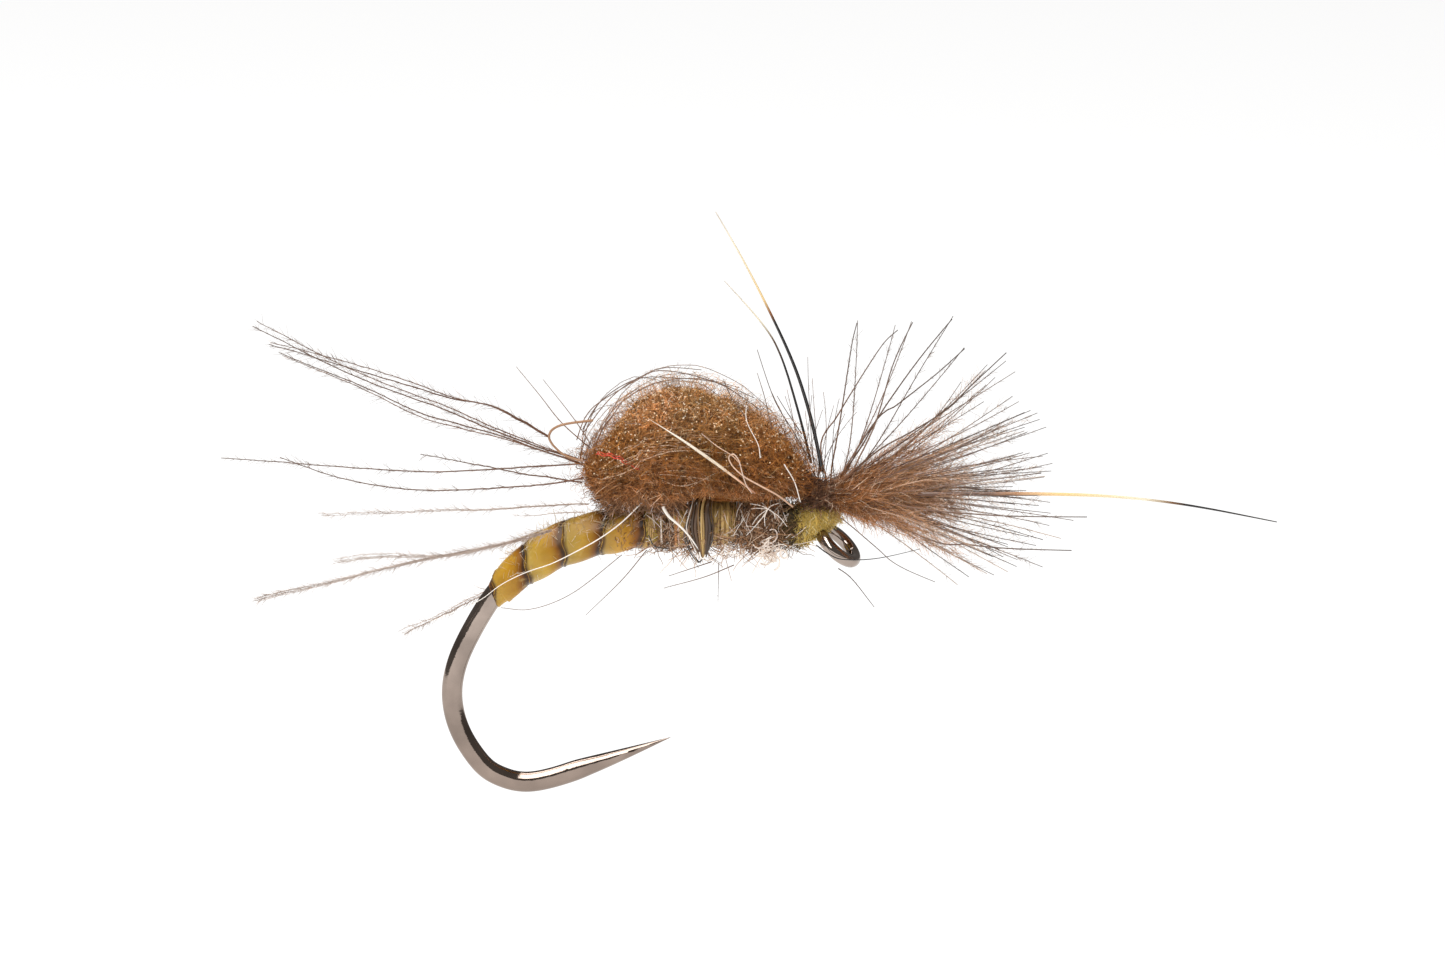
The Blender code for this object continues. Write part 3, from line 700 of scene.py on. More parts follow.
def make_hook():
    """The CAD hook's own form, carried to a smooth polished surface."""
    mesh = bare_copy("hook", "hook_polished")
    shape = merged(mesh)
    for edge in shape.edges:
        edge.smooth = True
    put_back(shape, mesh)
    hook = place(mesh, steel_paint(), ("hook",))
    rounded = hook.modifiers.new("rounded", "SUBSURF")
    rounded.levels = 2
    rounded.render_levels = 2
    start = np.array([v.co for v in mesh.vertices])
    smoothed = hook.evaluated_get(bpy.context.evaluated_depsgraph_get()).to_mesh()
    shrunk = np.array([smoothed.vertices[v.index].co for v in mesh.vertices])
    hook.to_mesh_clear()
    more = np.where(start[:, :1] > EYE_START * MM, EYE_GROWTH, WIRE_GROWTH)
    grown = start + more * (start - shrunk)
    for vertex, spot in zip(mesh.vertices, grown):
        vertex.co = spot


def wire_line(x_rear, x_front, count):
    """The hook wire's middle along the shank, found by rays from above and through it."""
    hook = surface("hook")
    line = []
    for x in np.linspace(x_rear, x_front, count):
        top = struck(hook, x, RAY_HEIGHT, -1)
        under = struck(hook, x, top - 0.02, -1)
        line.append((x, 0.0, (top + under) / 2))
    return np.array(line)


def around(line, radius, turn):
    """Points at a radius and an angle round a line in the XZ plane. Turn 0 is up, 90 near."""
    along = unit(np.gradient(line, axis=0))
    up = unit(np.cross(along, np.array([0.0, 1.0, 0.0])))
    up = np.where(up[:, 2:] < 0, -up, up)
    radius = np.asarray(radius)[:, None]
    turn = np.asarray(turn)[:, None]
    return line + radius * (up * np.cos(turn) + NEAR * np.sin(turn))


# The abdomen

STRIP_TURNS = 4.05
ABDOMEN_TAIL_RADIUS = 0.345
ABDOMEN_FULL_RADIUS = 0.565
UNDERSIDE_BACK = 0.30       # how much further back the underside starts
ABDOMEN_ROWS = 300
ABDOMEN_SIDES = 64
TURN_BULGE = 0.046
LIP_HEIGHT = 0.026
LIP_PLACE = 0.05            # as a share of a turn
LIP_WIDTH = 0.035


def abdomen_line(count):
    low, high = box("abdomen")
    return even(wire_line(low[0] + 0.27, high[0] - 0.02, 120), count)


def make_abdomen():
    """A quill strip wound helically: each turn swells and ends in a dark raised edge."""
    rows, sides = ABDOMEN_ROWS, ABDOMEN_SIDES
    line = abdomen_line(rows)
    share = np.linspace(0, 1, rows)
    swell = ABDOMEN_TAIL_RADIUS + (ABDOMEN_FULL_RADIUS - ABDOMEN_TAIL_RADIUS) * np.sin(
        np.minimum(share * 1.9, 1.0) * np.pi / 2)
    rng = np.random.default_rng(5)
    wobble = rng.normal(0, 1, (4, 2))
    along = unit(np.gradient(line, axis=0))
    points = np.empty((rows, sides, 3))
    phase = np.empty((rows, sides))
    for j in range(sides):
        turn = 2 * np.pi * j / sides
        turned = share * STRIP_TURNS + turn / (2 * np.pi) - 0.25
        p = (turned + 0.03 * np.sin(3 * turn + 11 * share)
             + 0.02 * np.sin(5 * turn - 23 * share)) % 1.0
        bulge = TURN_BULGE * np.sin(np.pi * p) ** 0.7 - 0.014
        lip = LIP_HEIGHT * np.exp(-((p - LIP_PLACE) / LIP_WIDTH) ** 2)
        uneven = sum(0.008 * a * np.sin((k + 2) * turn + 9 * share * (k + 1) + b)
                     for k, (a, b) in enumerate(wobble))
        radius = swell + bulge + lip + uneven
        radius = np.where(share < 0.05, np.minimum(radius, 0.30 + 1.4 * share), radius)
        radius[-1] *= 0.9
        spots = around(line, radius, np.full(rows, turn))
        slant = UNDERSIDE_BACK * (1 - np.cos(turn)) / 2 * (1 - share) ** 7
        points[:, j] = spots - along * slant[:, None]
        phase[:, j] = p
    mesh = tube_sheet(points[:, ::-1], "abdomen_strip", {"phase": phase[:, ::-1]})
    place(mesh, biot_paint(), ("abdomen", "abdomen_rib"))
    make_abdomen_fuzz(line, swell)


def make_abdomen_fuzz(line, radius):
    """Short pale hairs on the upper side of the quill strip."""
    rng = np.random.default_rng(6)
    count = 520
    pick = (rng.uniform(0.12, 1.0, count) * (len(line) - 1)).astype(int)
    turn = rng.normal(0.0, 0.9, count)
    roots = around(line, radius, np.zeros(len(line)))[pick]
    up = unit(roots - line[pick])
    out = up * np.cos(turn)[:, None] + NEAR * np.sin(turn)[:, None]
    roots = line[pick] + out * (radius[pick][:, None] + 0.01)
    heading = unit(out * 0.45 + random_unit(rng, count))
    hairs = arcs(roots, heading, rng.uniform(0.12, 0.42, count),
                 random_unit(rng, count) * 0.10, 7)
    grow("abdomen_fuzz", [tapered(rng, hairs, 0.0062, 0.0035)], fibre_look("pale_fuzz"))


# The feather dome

class Dome:
    """The CAD dome as a place to grow fibres: share runs rear to front, turn 0 is the top."""

    STEPS = 90
    TURNS = 145

    def __init__(self):
        tree = surface("bubble_back")
        low, high = box("bubble_back")
        self.xs = np.linspace(low[0] + 0.02, high[0] - 0.03, self.STEPS)
        self.turns = np.linspace(-np.pi, np.pi, self.TURNS)
        middles = []
        for x in self.xs:
            middles.append((struck(tree, x, RAY_HEIGHT, -1)
                            + struck(tree, x, -RAY_HEIGHT, 1)) / 2)
        self.middles = np.array(middles)
        self.points = np.zeros((self.STEPS, self.TURNS, 3))
        self.normals = np.zeros((self.STEPS, self.TURNS, 3))
        for i, x in enumerate(self.xs):
            middle = Vector((x, 0, self.middles[i]))
            for j, turn in enumerate(self.turns):
                hit, normal, _, _ = tree.ray_cast(middle, Vector((0, -np.sin(turn), np.cos(turn))))
                self.points[i, j] = hit if hit else middle
                self.normals[i, j] = normal if hit else (0, 0, 1)

    def axis(self, points):
        """The dome's middle line at each point's own x."""
        z = np.interp(points[..., 0], self.xs, self.middles)
        return np.stack([points[..., 0], np.zeros_like(z), z], axis=-1)

    def look_up(self, grid, share, turn):
        """A value of the grid between its points."""
        i = np.clip(np.asarray(share), 0, 1) * (self.STEPS - 1.001)
        j = (np.clip(np.asarray(turn), -np.pi, np.pi) + np.pi) / (2 * np.pi) * (self.TURNS - 1.001)
        i0 = i.astype(int)
        j0 = j.astype(int)
        f = (i - i0)[..., None]
        g = (j - j0)[..., None]
        return ((1 - f) * (1 - g) * grid[i0, j0] + f * (1 - g) * grid[i0 + 1, j0]
                + (1 - f) * g * grid[i0, j0 + 1] + f * g * grid[i0 + 1, j0 + 1])

    def at(self, share, turn, lift):
        """Points on the dome's surface, lifted off it."""
        rise = self.normal(share, turn) * np.asarray(lift)[..., None]
        return self.look_up(self.points, share, turn) + rise

    def normal(self, share, turn):
        return unit(self.look_up(self.normals, share, turn))

    def strands(self, rng, count, rings, start, run, turns, drift, lift, arch):
        """Strands that flow over the dome from rear to front."""
        def draw(span):
            return rng.uniform(span[0], span[1], count)[:, None]

        t = np.linspace(0, 1, rings)[None]
        share = draw(start) + draw(run) * t
        slant = np.radians(rng.normal(0, drift, count))[:, None]
        wave = np.radians(rng.normal(0, drift * 0.4, count))[:, None]
        turn = np.radians(draw(turns)) + slant * t + wave * np.sin(2 * np.pi * t)
        height = draw(lift) + draw(arch) * np.sin(np.pi * t) ** 0.8
        return self.at(share, turn, height)

    def curls(self, rng, count, size, lift, turns=(-125, 125), rings=5, out=0.25, crimp=0.4):
        """Short crinkled fibres that lie on the dome in every direction."""
        share = rng.uniform(0, 1, count)
        turn = np.radians(rng.uniform(turns[0], turns[1], count))
        normal = self.normal(share, turn)
        roots = self.at(share, turn, rng.uniform(lift[0], lift[1], count))
        along = square_to(normal, random_unit(rng, count) + np.array([0.5, 0, 0]))
        across = np.cross(normal, along)
        lengths = rng.uniform(size[0], size[1], count)[:, None, None]
        t = steps(rings)
        bend = rng.normal(0, crimp, (count, 1, 1))
        rise = rng.uniform(-0.1, out * 2, (count, 1, 1))
        wave = rng.normal(0, crimp * 0.35, (count, 1, 1))
        return roots[:, None] + lengths * (
            along[:, None] * t + across[:, None] * (bend * t ** 2 + wave * np.sin(6 * t))
            + normal[:, None] * rise * np.sin(np.pi * 0.8 * t))


SHELL_INSET = 0.20
SHELL_ROUGHNESS = 0.07
SHELL_WAVES = 14


def make_dome_shell():
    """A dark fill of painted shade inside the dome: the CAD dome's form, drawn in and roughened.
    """
    mesh = bare_copy("bubble_back", "dome_shaded_fill")
    shape = merged(mesh)
    bmesh.ops.subdivide_edges(shape, edges=shape.edges, cuts=3, use_grid_fill=True)
    shape.normal_update()
    rng = np.random.default_rng(11)
    waves = [(rng.normal(0, 1, 3) * 5.0, rng.uniform(0, 6)) for _ in range(SHELL_WAVES)]
    for vertex in shape.verts:
        spot = np.array(vertex.co) / MM
        rough = sum(np.sin(spot @ k + b) for k, b in waves) / SHELL_WAVES
        vertex.co += vertex.normal * (SHELL_ROUGHNESS * rough - SHELL_INSET) * MM
    put_back(shape, mesh)
    place(mesh, shell_paint(), ("bubble_back",))


def make_dome_fibres(dome):
    rng = np.random.default_rng(21)
    paint = dome_paint()
    under = dome.strands(rng, 900, 9, (-0.02, 0.8), (0.12, 0.45), (-124, 124), 24,
                         (-0.20, -0.10), (0.0, 0.05))
    deep = dome.curls(rng, 12000, (0.10, 0.26), (-0.20, -0.08), rings=6, out=0.4, crimp=0.7)
    top = dome.curls(rng, 19000, (0.07, 0.18), (-0.10, 0.0), rings=6, out=0.5, crimp=0.9)
    grow("dome_fibres", [
        tapered(rng, under, 0.014, 0.009),
        tapered(rng, deep, 0.012, 0.007),
        tapered(rng, top, 0.0105, 0.007),
    ], paint)
    # Tiny bright bits on the dome as painted glints.
    glints = np.concatenate([
        dome.curls(rng, 420, (0.02, 0.05), (0.05, 0.10), (-95, 95), 3, 0.1, 0.1),
        dome.curls(rng, 420, (0.02, 0.05), (0.05, 0.10), (-60, 60), 3, 0.1, 0.1)])
    grow("dome_glints", [tapered(rng, glints, 0.0175, 0.015, 4)], glint_paint())
    veil = dome.curls(rng, 4600, (0.18, 0.50), (-0.08, 0.02), (-122, 122), 7, 0.8, 0.8)
    grow("dome_fuzz", [tapered(rng, veil, 0.0048, 0.003)], paint)
    make_dome_strands(rng, dome)
    make_skirt(rng, dome)


def make_dome_strands(rng, dome):
    """Paler barbs drawn forward over the dome's flanks, and a few over its top."""
    pale = fibre_look("dome_strand")
    flank = np.concatenate([
        dome.strands(rng, 62, 22, (-0.01, 0.35), (0.24, 0.58), side, 10, (-0.04, 0.03),
                     (0.0, 0.08)) for side in ((66, 118), (-118, -66))])
    over = dome.strands(rng, 22, 22, (0.0, 0.5), (0.25, 0.50), (-60, 60), 14, (-0.05, 0.0),
                        (0.0, 0.06))
    hair, radii = barbules(rng, flank, 5, 0.15, 0.0038, away_from=dome.axis)
    grow("dome_strands", [
        tapered(rng, flank, 0.0115, 0.006, 4),
        tapered(rng, over, 0.0090, 0.006, 4),
        batch(rng, hair, radii),
    ], pale)


SKIRT_TOP = 1.92
SKIRT_FOOT = 1.66
SKIRT_TUFTS = [             # where it hangs lower: (depth, x, width)
    (0.74, -4.62, 0.44), (0.66, -5.85, 0.55), (0.12, -2.1, 0.6),
]


def ragged(rng, roots, side, inward, down, longest, more=1.0):
    """Short ends in every direction, on the near side (-1) or the far one (1)."""
    count = len(roots)
    heading = np.stack([rng.normal(0.1, 0.7, count), -side * rng.uniform(*inward, count),
                        -rng.uniform(*down, count)], axis=1)
    lengths = rng.uniform(0.09, longest, count) * more
    bends = random_unit(rng, count) * lengths[:, None] * 0.5
    return arcs(roots, unit(heading), lengths, bends, 6)


def make_skirt(rng, dome):
    """Ragged ends that hang from the dome's lower edges down over the thorax."""
    paint = skirt_paint()
    edge, low = [], []
    for side in (-1, 1):
        count = 5400
        share = rng.uniform(0.01, 0.985, count)
        turn = side * np.radians(rng.uniform(84, 126, count))
        roots = dome.at(share, turn, rng.uniform(-0.16, 0.0, count))
        edge.append(ragged(rng, roots, side, (-0.3, 0.6), (-0.1, 0.6), 0.26))
        count = 4800
        x = np.concatenate([rng.uniform(-6.3, -1.1, count * 3 // 4),
                            rng.uniform(-6.35, -4.2, count - count * 3 // 4)])
        reach = np.full(count, SKIRT_FOOT)
        for depth, middle, width in SKIRT_TUFTS:
            reach = reach - depth * np.exp(-((x - middle) / width) ** 2)
        down = rng.uniform(0.0, 1.0, count)
        z = SKIRT_TOP + (reach - SKIRT_TOP) * down + rng.normal(0, 0.05, count)
        y = side * (1.36 - 0.62 * down * (SKIRT_TOP - reach) / 0.9 - 0.16 * down
                    + rng.normal(0, 0.05, count))
        pinch = np.clip((x + 6.9) / 1.2, 0.45, 1.0) * np.clip((-0.4 - x) / 1.4, 0.5, 1.0)
        roots = np.stack([x, y * pinch, z], axis=1)
        low.append(ragged(rng, roots, side, (-0.2, 0.8), (-0.2, 0.7), 0.24,
                          1 + 0.8 * (reach < 1.35)))
    edge = np.concatenate(edge)
    low = np.concatenate(low)
    grow("dome_skirt", [tapered(rng, edge, 0.0105, 0.006),
                        tapered(rng, low, 0.0115, 0.006)], paint)


def make_arches(dome):
    """Loose dark barbs that stand off the dome in arcs at its rear and top."""
    rng = np.random.default_rng(31)
    paint = fibre_look("arching_barb")
    for number in range(1, 5):
        node = f"arch_fibre_{number}"
        line = smooth(middle_line(node, (-7.5, 0, 2.0)), 40)[None]
        grow(f"arch_barb_{number}",
             haired(rng, line, (0.0150, 0.010, 5), (10, 0.24, 0.0036), (0.02, 0.97),
                    angle=(40, 90)), paint, (node,))
    high = dome.strands(rng, 3, 34, (-0.03, 0.05), (0.65, 0.95), (-62, 45), 12,
                        (0.02, 0.08), (0.30, 0.65))
    whisk = dome.strands(rng, 8, 26, (-0.05, 0.03), (0.16, 0.42), (-88, 40), 26,
                         (0.0, 0.10), (0.30, 0.75))
    batches = []
    for lines, root in ((high, 0.0110), (whisk, 0.0115)):
        batches += haired(rng, lines, (root, 0.007, 4), (9, 0.22, 0.0034), (0.02, 0.97),
                          angle=(40, 90))
    grow("arch_barbs_loose", batches, paint)


# Trailing barbs

LEG_SIDE_HAIRS = 20         # per millimetre
LEG_FELLOWS = {"leg_upper_1": 1, "leg_upper_2": 1, "leg_upper_3": 1, "leg_under_1": 4,
               "leg_under_2": 3, "leg_rear": 3, "leg_low_1": 1}

FAINT_LEGS = ("leg_under_1", "leg_under_2", "leg_rear", "leg_low_1", "leg_low_2")


def fellows(rng, line, count, spread):
    """Finer barbs that keep a barb company and part from it here and there."""
    t = np.linspace(0, 1, len(line))[:, None]
    made = []
    for _ in range(count):
        push = rng.normal(0, spread, 3)
        swing = rng.normal(0, spread * 0.6, 3)
        made.append(line + push * (0.25 + t) + swing * np.sin(2 * np.pi * t + rng.uniform(0, 6)))
    return np.array(made)


def make_legs():
    paints = {False: fibre_look("trailing_barb"), True: fibre_look("faint_barb")}
    names = sorted(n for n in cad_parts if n.startswith("leg_"))
    for number, node in enumerate(names):
        rng = np.random.default_rng(100 + number)
        faint = node in FAINT_LEGS
        thick = 0.62 if faint else 1.0
        main = smooth(middle_line(node, (-5.5, 0, 1.2)), 46)
        jitter = np.cumsum(rng.normal(0, 0.006, main.shape), axis=0)
        main = (main + jitter - jitter[:1])[None]
        batches = [tapered(rng, main, 0.0225 * thick, 0.011 * thick, 5,
                         np.array([0.35]))]
        count = LEG_FELLOWS.get(node, 0)
        lines = main
        if count:
            extra = fellows(rng, main[0], count, 0.05 if faint else 0.07)
            batches.append(tapered(rng, extra, 0.0165 * thick, 0.009 * thick, 4))
            lines = np.concatenate([main, extra])
        hair, radii = barbules(rng, lines, LEG_SIDE_HAIRS, 0.34, 0.0046, (0.0, 0.99),
                               angle=(18, 60), shrink=0.35, curl=0.25)
        batches.append(batch(rng, hair, radii))
        grow(node.replace("leg", "leg_barb"), batches, paints[faint], (node,))


# The wing

WING_SECTORS = [            # (lowest, highest angle, inner barbs, outer barbs, sideways angle)
    (16, 38, 9, 8, 10), (3, 22, 38, 15, 3), (-9, 8, 42, 13, -4), (-25, -6, 34, 13, -10),
]

WING_TIPS = [               # (degrees above the shank, reach) of the long outer barbs
    (81, 4.7), (68, 4.8), (65, 5.1), (56, 5.8), (48, 5.3), (39, 6.0), (34, 5.9), (29, 5.8),
    (27, 5.6), (25, 5.9), (22, 5.6), (19, 5.9), (17, 6.0), (12, 5.8), (9, 5.8), (5, 5.7),
    (2, 5.6), (-1, 5.3), (-5, 6.5), (-7, 6.0), (-12, 6.3), (-16, 5.4), (-19, 4.9),
    (-28, 5.0), (-30, 4.3), (-37, 4.3),
]


def wing_root():
    """Where the wing's feathers are tied in: just behind the middle of their inner ends."""
    ends = []
    for number in range(1, 5):
        found = corners(f"wing_feather_{number}")
        ends.append(found[found[:, 0] < found[:, 0].min() + 0.25].mean(axis=0))
    return np.mean(ends, axis=0) - np.array([0.05, 0.0, 0.10])


def fan(rng, root, angles, reaches, widths, rings, loose, gather=0.45):
    """Barbs from the wing's root, at angles in the XZ plane and spread in y."""
    count = len(angles)
    turn = np.radians(angles)
    yaw = np.radians(widths)
    out = np.stack([np.cos(turn) * np.cos(yaw), np.sin(yaw), np.sin(turn) * np.cos(yaw)], axis=1)
    start = unit(out * (1 - gather) + np.array([gather, 0.0, 0.05]))
    roots = root + scatter(rng, count, (0.12, 0.18, 0.08))
    t = steps(rings)
    tips = root + out * reaches[:, None]
    middle = roots + start * (reaches * 0.36)[:, None]
    lines = ((1 - t) ** 2 * roots[:, None] + 2 * t * (1 - t) * middle[:, None]
             + t ** 2 * tips[:, None])
    swing = rng.normal(0, loose, (count, 1, 3))
    sway = rng.normal(0, loose * 0.5, (count, 1, 3))
    return lines + swing * np.sin(np.pi * t) + sway * np.sin(2 * np.pi * t)


def make_wing():
    rng = np.random.default_rng(41)
    fluff_look = wing_paint()
    barb_look = fibre_look("wing_barb")
    root = wing_root()
    for number, (low, high, core, long, aside) in enumerate(WING_SECTORS, 1):
        angles = rng.uniform(low, high, core)
        reaches = rng.uniform(1.8, 4.2, core)
        inner = fan(rng, root, angles, reaches, rng.normal(aside, 8, core), 14, 0.12, 0.30)
        fluff, fluff_radii = barbules(rng, inner, 34, 0.42, 0.0062, (0.0, 0.94),
                                      angle=(20, 80), shrink=0.35, curl=0.5, count=5)
        angles = rng.uniform(low, high, long)
        reaches = rng.uniform(4.6, 6.0, long)
        outer = fan(rng, root, angles, reaches, rng.normal(aside * 1.2, 8, long), 20, 0.07)
        hair, radii = barbules(rng, outer, 30, 0.40, 0.0046, (0.02, 0.96), angle=(18, 62),
                               shrink=0.50, curl=0.4, count=5)
        grow(f"wing_fluff_{number}", [
            tapered(rng, inner, 0.011, 0.005),
            batch(rng, fluff, fluff_radii),
            batch(rng, hair, radii),
        ], fluff_look, (f"wing_feather_{number}",))
        grow(f"wing_barbs_{number}", [tapered(rng, outer, 0.0175, 0.009, 4)],
             barb_look)
    tips = np.array(WING_TIPS, float)
    outer = fan(rng, root, tips[:, 0], tips[:, 1], rng.normal(-3, 9, len(tips)), 24, 0.05, 0.25)
    grow("wing_barbs_outer",
         haired(rng, outer, (0.0190, 0.0095, 5), (20, 0.30, 0.0042), (0.02, 0.94),
                angle=(20, 60), shrink=0.45), barb_look)
    for number in range(1, 9):
        node = f"barb_{number}"
        line = smooth(np.vstack([[root], middle_line(node, root)]), 30)[None]
        grow(f"long_barb_{number}",
             haired(rng, line, (0.025, 0.014, 5), (14, 0.22, 0.0040), (0.1, 0.9),
                    angle=(20, 60)), barb_look, (node,))


def make_root_tuft(dome):
    """Dark fibres packed at the wing's root, thin ones that stand up from it, and the
    strands that run from the dome through the tie-in to the wing."""
    rng = np.random.default_rng(47)
    root = wing_root()
    count = 1500
    roots = root + scatter(rng, count, (0.24, 0.24, 0.13)) - (0.28, 0, 0.10)
    out = unit(scatter(rng, count, (0.55, 0.45, 0.35)) + (0.25, 0, 0.20))
    tuft = arcs(roots, out, rng.uniform(0.12, 0.50, count), rng.normal(0, 0.10, (count, 3)), 6)
    count = 15
    roots = root + scatter(rng, count, (0.22, 0.2, 0.08)) + (-0.35, 0, 0.1)
    lean = np.radians(rng.uniform(68, 132, count))
    out = np.stack([np.cos(lean), rng.normal(0, 0.15, count), np.sin(lean)], axis=1)
    stand = arcs(roots, unit(out), rng.uniform(1.6, 4.0, count), rng.normal(0, 0.30, (count, 3)),
                 20)
    hair, radii = barbules(rng, stand, 6, 0.16, 0.0034, angle=(30, 70))
    count = 420
    share = rng.uniform(0.78, 0.98, count)
    turn = rng.uniform(-np.pi * 0.7, np.pi * 0.7, count)
    first = dome.at(share, turn, rng.uniform(-0.15, 0.0, count))
    waist = root + (-0.42, 0, -0.04) + scatter(rng, count, (0.10, 0.17, 0.14))
    forward = unit(scatter(rng, count, (0.2, 0.5, 0.35)) + (1.1, 0, 0.1))
    last = root + forward * rng.uniform(0.3, 1.2, count)[:, None]
    t = steps(12)
    tied = (first[:, None] * (1 - t) ** 3 + waist[:, None] * 3 * t * (1 - t)
            + last[:, None] * t ** 3)
    tied = tied / ((1 - t) ** 3 + 3 * t * (1 - t) + t ** 3)
    grow("wing_root_tuft", [
        tapered(rng, tuft, 0.011, 0.005),
        tapered(rng, tied, 0.013, 0.011, 4),
        tapered(rng, stand, 0.011, 0.006, 4),
        batch(rng, hair, radii),
    ], fibre_look("tie_in_fibre"))
    count = 2600
    spread = np.radians(rng.uniform(-40, 34, count))
    away = rng.uniform(0.05, 1.5, count) ** 0.8
    roots = root + np.stack([away * np.cos(spread), rng.normal(0, 0.22, count),
                             0.75 * away * np.sin(spread) + rng.normal(0, 0.10, count)], axis=1)
    heading = np.stack([np.cos(spread), rng.normal(0, 0.5, count), np.sin(spread)], axis=1)
    heading = unit(heading + random_unit(rng, count) * 0.8)
    lengths = rng.uniform(0.12, 0.42, count)
    fluff = arcs(roots, heading, lengths, random_unit(rng, count) * lengths[:, None] * 0.45, 6)
    grow("wing_root_fluff", [tapered(rng, fluff, 0.0095, 0.005)], wing_paint())


# Single hairs

BLACK = (0.006, 0.005, 0.005)
GOLD = (0.93, 0.66, 0.30)
CREAM = (0.95, 0.84, 0.62)

GUARD_STOPS = {
    "guard_hair_1": [(0.0, BLACK), (0.56, BLACK), (0.60, (0.30, 0.10, 0.02)), (0.65, GOLD),
                     (0.90, CREAM), (1.0, (0.60, 0.50, 0.40))],
    "guard_hair_2": [(0.0, BLACK), (0.50, BLACK), (0.62, (0.12, 0.07, 0.04)), (0.75, CREAM),
                     (1.0, (0.75, 0.68, 0.60))],
    "guard_hair_front": [(0.0, (0.13, 0.058, 0.030)), (0.19, (0.15, 0.068, 0.036)),
                         (0.27, (0.55, 0.28, 0.14)), (0.33, (0.88, 0.57, 0.29)), (0.40, GOLD),
                         (0.62, CREAM), (0.70, (0.20, 0.09, 0.03)), (0.74, BLACK),
                         (1.0, (0.03, 0.025, 0.02))],
}
GUARD_RADII = {"guard_hair_1": (0.050, 0.012), "guard_hair_2": (0.036, 0.012),
               "guard_hair_front": (0.055, 0.014)}


def hair_piece(name, line, root, tip, paint, slot, nodes=(), swell=0.0, tone=0.5, sides=8,
               power=1.0):
    """One hair: tapered, and fatter along its middle by swell."""
    radii = taper(line[None], root, tip, power)
    radii = radii + swell * np.sin(np.pi * np.linspace(0, 1, len(line))) ** 2
    grow(name, [(line[None], radii, np.array([tone]), sides)], paint, nodes)


def make_guard_hairs():
    for node, stops in GUARD_STOPS.items():
        line = smooth(middle_line(node, (0, 0, 1.4), 6), 60)
        hair_piece(node + "_smooth", line, *GUARD_RADII[node],
                   ramp_paint(node, stops, 0.25, 0.4), "guard_hair", (node,), power=1.6)


def make_quills():
    line = smooth(middle_line("pale_quill", (-2.0, -1.6, 1.6)), 40)
    stops = [(0.0, (0.50, 0.22, 0.12)), (0.15, (0.86, 0.50, 0.30)), (0.35, (0.93, 0.78, 0.58)),
             (0.8, (0.97, 0.90, 0.78)), (1.0, (0.85, 0.70, 0.52))]
    hair_piece("pale_quill_smooth", line, 0.024, 0.006, ramp_paint("cream_quill", stops),
               "quill_pale", ("pale_quill",), swell=0.026)
    stops = [(0.0, (0.62, 0.36, 0.22)), (0.5, (0.85, 0.58, 0.40)), (1.0, (0.80, 0.62, 0.50))]
    paint = ramp_paint("tan_quill", stops)
    looped = [(-1.20, -1.25, 1.30), (-1.60, -1.50, 1.66), (-2.05, -1.72, 1.96),
              (-2.46, -1.84, 2.22), (-2.76, -1.90, 2.50), (-2.89, -1.93, 2.76),
              (-2.76, -1.95, 2.86), (-2.62, -1.95, 2.68), (-2.54, -1.94, 2.38),
              (-2.43, -1.88, 2.02), (-2.28, -1.80, 1.78)]
    hair_piece("tan_hair_looped", smooth(looped, 70), 0.026, 0.013, paint, "quill_pale",
               ("tan_hair",))
    upper = [(-2.62, -1.96, 2.64), (-2.82, -1.97, 2.84), (-3.20, -1.96, 3.08),
             (-3.60, -1.90, 3.40)]
    hair_piece("tan_hair_upper", smooth(upper, 24), 0.016, 0.006, paint, "quill_pale")


FREE_HAIRS = {              # looks only: (points, radius at the root and the tip)
    "low_1": ([(-8.91, -0.3, -1.64), (-8.25, -0.5, -1.65), (-7.54, -0.6, -1.44),
               (-6.80, -0.7, -1.01), (-5.71, -0.7, -0.12)], 0.008, 0.012),
    "low_2": ([(-5.05, -0.5, -0.03), (-5.71, -0.7, -0.80), (-6.66, -1.0, -1.68)], 0.015, 0.007),
    "low_3": ([(-2.75, -0.4, -0.46), (-3.54, -0.7, -0.72), (-4.60, -1.0, -0.95)], 0.015, 0.008),
    "low_4": ([(-3.33, -0.4, -0.37), (-4.47, -0.7, -0.69)], 0.016, 0.008),
    "low_5": ([(-3.15, -0.3, -0.42), (-3.17, -0.4, -1.46)], 0.012, 0.005),
    "rear_1": ([(-6.56, 0.2, 2.58), (-7.30, 0.1, 3.28), (-7.88, 0, 4.05), (-8.49, 0, 4.81)],
               0.018, 0.008),
    "rear_2": ([(-6.40, -0.5, 2.62), (-6.95, -0.6, 3.51), (-7.77, -0.8, 4.63)], 0.016, 0.007),
    "top_1": ([(-1.75, -1.2, 3.36), (-1.93, -1.2, 4.17), (-2.14, -1.2, 4.88)], 0.016, 0.008),
    "top_2": ([(-2.38, -1.1, 3.61), (-2.64, -1.15, 3.95), (-2.86, -1.2, 4.31),
               (-3.04, -1.25, 4.73)], 0.019, 0.007),
}
PALE_HAIRS = {
    "pale_1": ([(-2.43, -1.30, 4.04), (-2.41, -1.55, 3.64), (-2.12, -1.68, 3.07),
                (-2.06, -1.74, 2.71)], 0.009, 0.012),
    "pale_2": ([(-1.43, -1.40, 2.47), (-1.16, -1.20, 1.96), (-1.00, -1.00, 1.38)], 0.017, 0.015),
}


